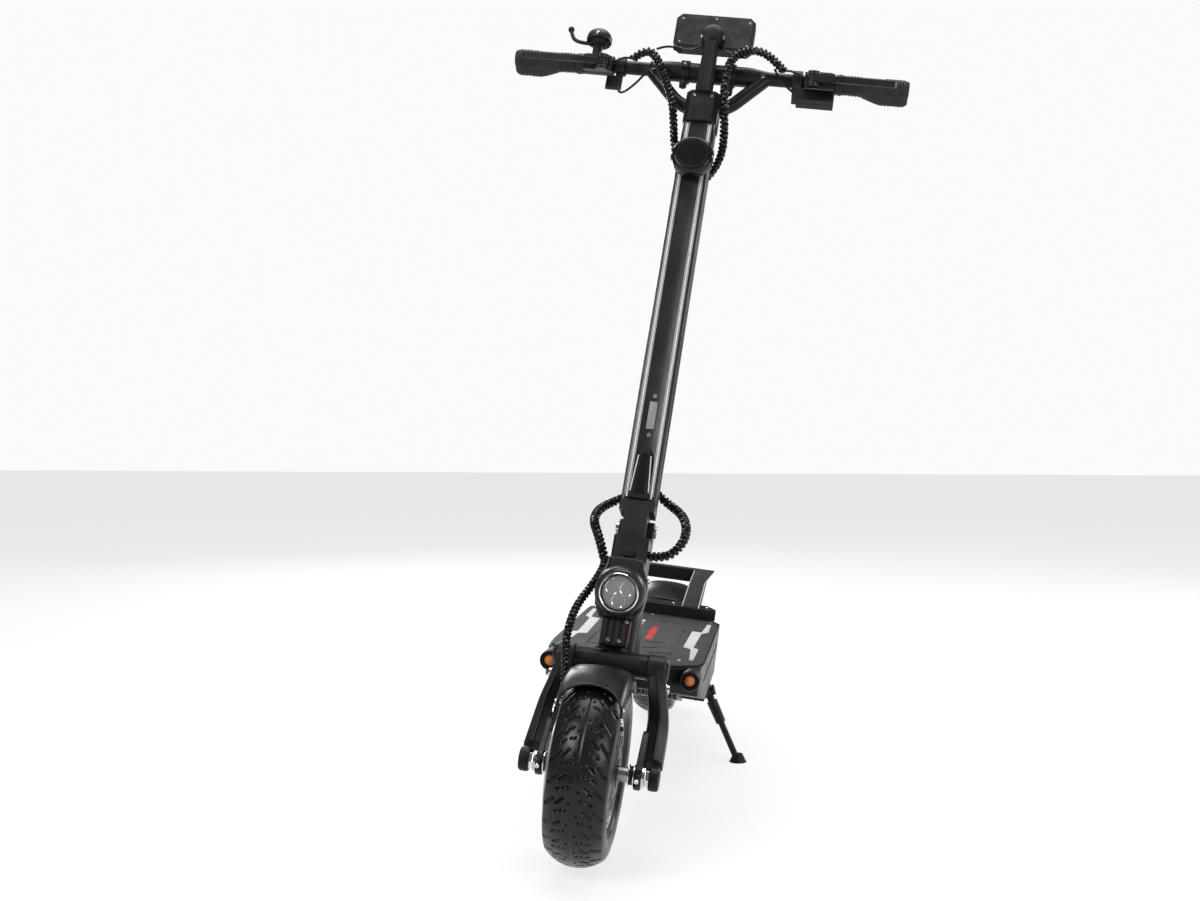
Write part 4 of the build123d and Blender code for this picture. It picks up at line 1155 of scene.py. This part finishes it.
def cables():
    loom("upper_loom_right", UPPER_RIGHT, STEM, "stem", nodes=("upper_looms",))
    loom("upper_loom_left", UPPER_LEFT, STEM, "stem")
    for name, points, node in (("lower_loom_left", LOWER_LEFT, "lower_loom_left"),
                               ("lower_loom_right", LOWER_RIGHT, "lower_loom_right")):
        for piece in loom(name + "_bundle", points, STEM, None, nodes=(node,)):
            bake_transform(piece)
    to_upright = UPRIGHT.inverted() @ STEM
    hose = [tuple(to_upright @ Vector(p)) for p in ((-36, -15, 98), (-33, -15.25, 90.5))]
    hose += [(-44, 144, 352), (-60, 114, 324), (-64, 88, 296), (-62, 68, 272), (-54, 48, 244),
             (-52, 40, 220),
             (-52, 40, 197)]
    for piece in loom("front_hose", hose, UPRIGHT, None, core=3.1, strand=5.4, pitch=6.4,
                      nodes=("front_brake_hose",)):
        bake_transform(piece)
    thin = {
        "throttle_wire": [(-146, -3, 900), (-144, -6, 882), (-132, -12, 878), (-112, -18, 896),
                          (-98, -22, 916), (-92, -26, 932)],
        "right_brake_line": [(-158, -22, 926), (-146, -30, 928), (-136, -30, 934), (-124, -24, 936)],
        "left_brake_line": [(158, -22, 926), (146, -30, 928), (134, -30, 934), (122, -24, 936)],
        "switch_wire": [(149, -6, 904), (136, -14, 908), (118, -20, 922), (108, -24, 938)],
        "display_wire": [(-12, -10, 982), (-26, -16, 968), (-48, -26, 958), (-70, -32, 962),
                         (-88, -32, 952)],
        "signal_wire": [(12, -12, 980), (30, -22, 962), (52, -30, 952), (70, -34, 958), (80, -32, 964)],
    }
    for name, points in thin.items():
        make(name, sweep(even(smooth_route(points, 10), 3), oval(4, 4, 10)), STEM, "stem", "wrap")
    plugs = joined(rod((-46, -25.5, 958.6), (-60, -29.5, 959.6), 4.2),
                   rod((44, -27.5, 954.4), (58, -31.4, 953.6), 3.8))
    make("wire_plugs", plugs, STEM, "stem", "plastic", 0.6)


cables()


# Camera, light and floor


def look():
    contact = joint_at("front_wheel_spin") - UP * TYRE_RADIUS * MM
    data = bpy.data.cameras.new("camera")
    data.lens, data.sensor_width = 39.9, 36
    camera = bpy.data.objects.new("camera", data)
    camera.location = contact + Vector((0.2925, -1.7392, 0.5932))
    camera.rotation_euler = (math.radians(90 - 1.4), math.radians(0.11), math.radians(8.55))
    bpy.context.scene.collection.objects.link(camera)
    bpy.context.scene.camera = camera
    middle = Vector((0, 0, 0.55))
    for name, place, size, power in (
            ("key", (-1.7, -2.3, 2.5), 1.3, 62), ("fill", (2.5, -1.9, 1.3), 1.2, 30),
            ("top", (0.1, 0.2, 3.3), 2.4, 80), ("back", (-1.4, 2.9, 1.9), 1.5, 50),
            ("rim", (2.3, 1.9, 1.5), 1.1, 40)):
        light = bpy.data.lights.new(name, "AREA")
        light.size, light.energy = size, power
        lamp = bpy.data.objects.new(name, light)
        lamp.location = place
        lamp.rotation_euler = (middle - Vector(place)).to_track_quat("-Z", "Y").to_euler()
        bpy.context.scene.collection.objects.link(lamp)
    bpy.context.scene.view_settings.view_transform = "Standard"
    world = bpy.data.worlds.new("studio")
    world.use_nodes = True
    nodes, links = world.node_tree.nodes, world.node_tree.links
    dim = nodes["Background"]
    dim.inputs["Color"].default_value = (0.95, 0.97, 1, 1)
    dim.inputs["Strength"].default_value = 0.16
    bright = nodes.new("ShaderNodeBackground")
    bright.inputs["Color"].default_value = (1, 1, 1, 1)
    bright.inputs["Strength"].default_value = 0.96
    seen = nodes.new("ShaderNodeMixShader")
    links.new(nodes.new("ShaderNodeLightPath").outputs["Is Camera Ray"], seen.inputs["Fac"])
    links.new(dim.outputs["Background"], seen.inputs[1])
    links.new(bright.outputs["Background"], seen.inputs[2])
    links.new(seen.outputs["Shader"], nodes["World Output"].inputs["Surface"])
    bpy.context.scene.world = world
    floor_mesh = bpy.data.meshes.new("floor")
    reach = 12
    corners = [(-reach, -reach, 0), (reach, -reach, 0), (reach, reach, 0), (-reach, reach, 0)]
    floor_mesh.from_pydata(corners, [], [(0, 1, 2, 3)])
    floor = bpy.data.objects.new("floor", floor_mesh)
    pale = Paint("floor_paper", (0.2, 0.2, 0.2), 0.8).mottle((0.19, 0.19, 0.19), 2).grain(200, 0.05)
    pale.set(Emission_Color=(1, 1, 1, 1), Emission_Strength=0.76, Specular_IOR_Level=0.1)
    floor_mesh.materials.append(pale.material)
    bpy.context.scene.collection.objects.link(floor)


look()

# CAD nodes that only need softened edges and a finish
FINISHES = {
    "frame_neck": ("powder", 2.0), "charge_port": ("plastic", 0.4), "charge_cap": ("plastic", 0.6),
    "rear_pivot_bracket": ("powder", 1.2), "kickstand_bracket": ("cast", 0.8),
    "kickstand_leg": ("cast", 0.8),
    "fork_yoke": ("powder", 1.6), "steering_neck": ("satin", 1.2), "fold_latch": ("satin", 0.8),
    "lock_button": ("plastic", 0.6), "fold_pin": ("chrome", 0.8),
}
for node, (paint, bevel) in FINISHES.items():
    soften(node, paint, bevel)
for node, paint in (("battery_pack", "cell"), ("motor_controllers", "alloy"),
                    ("headset_bearings", "steel")):
    coat(node, paint)
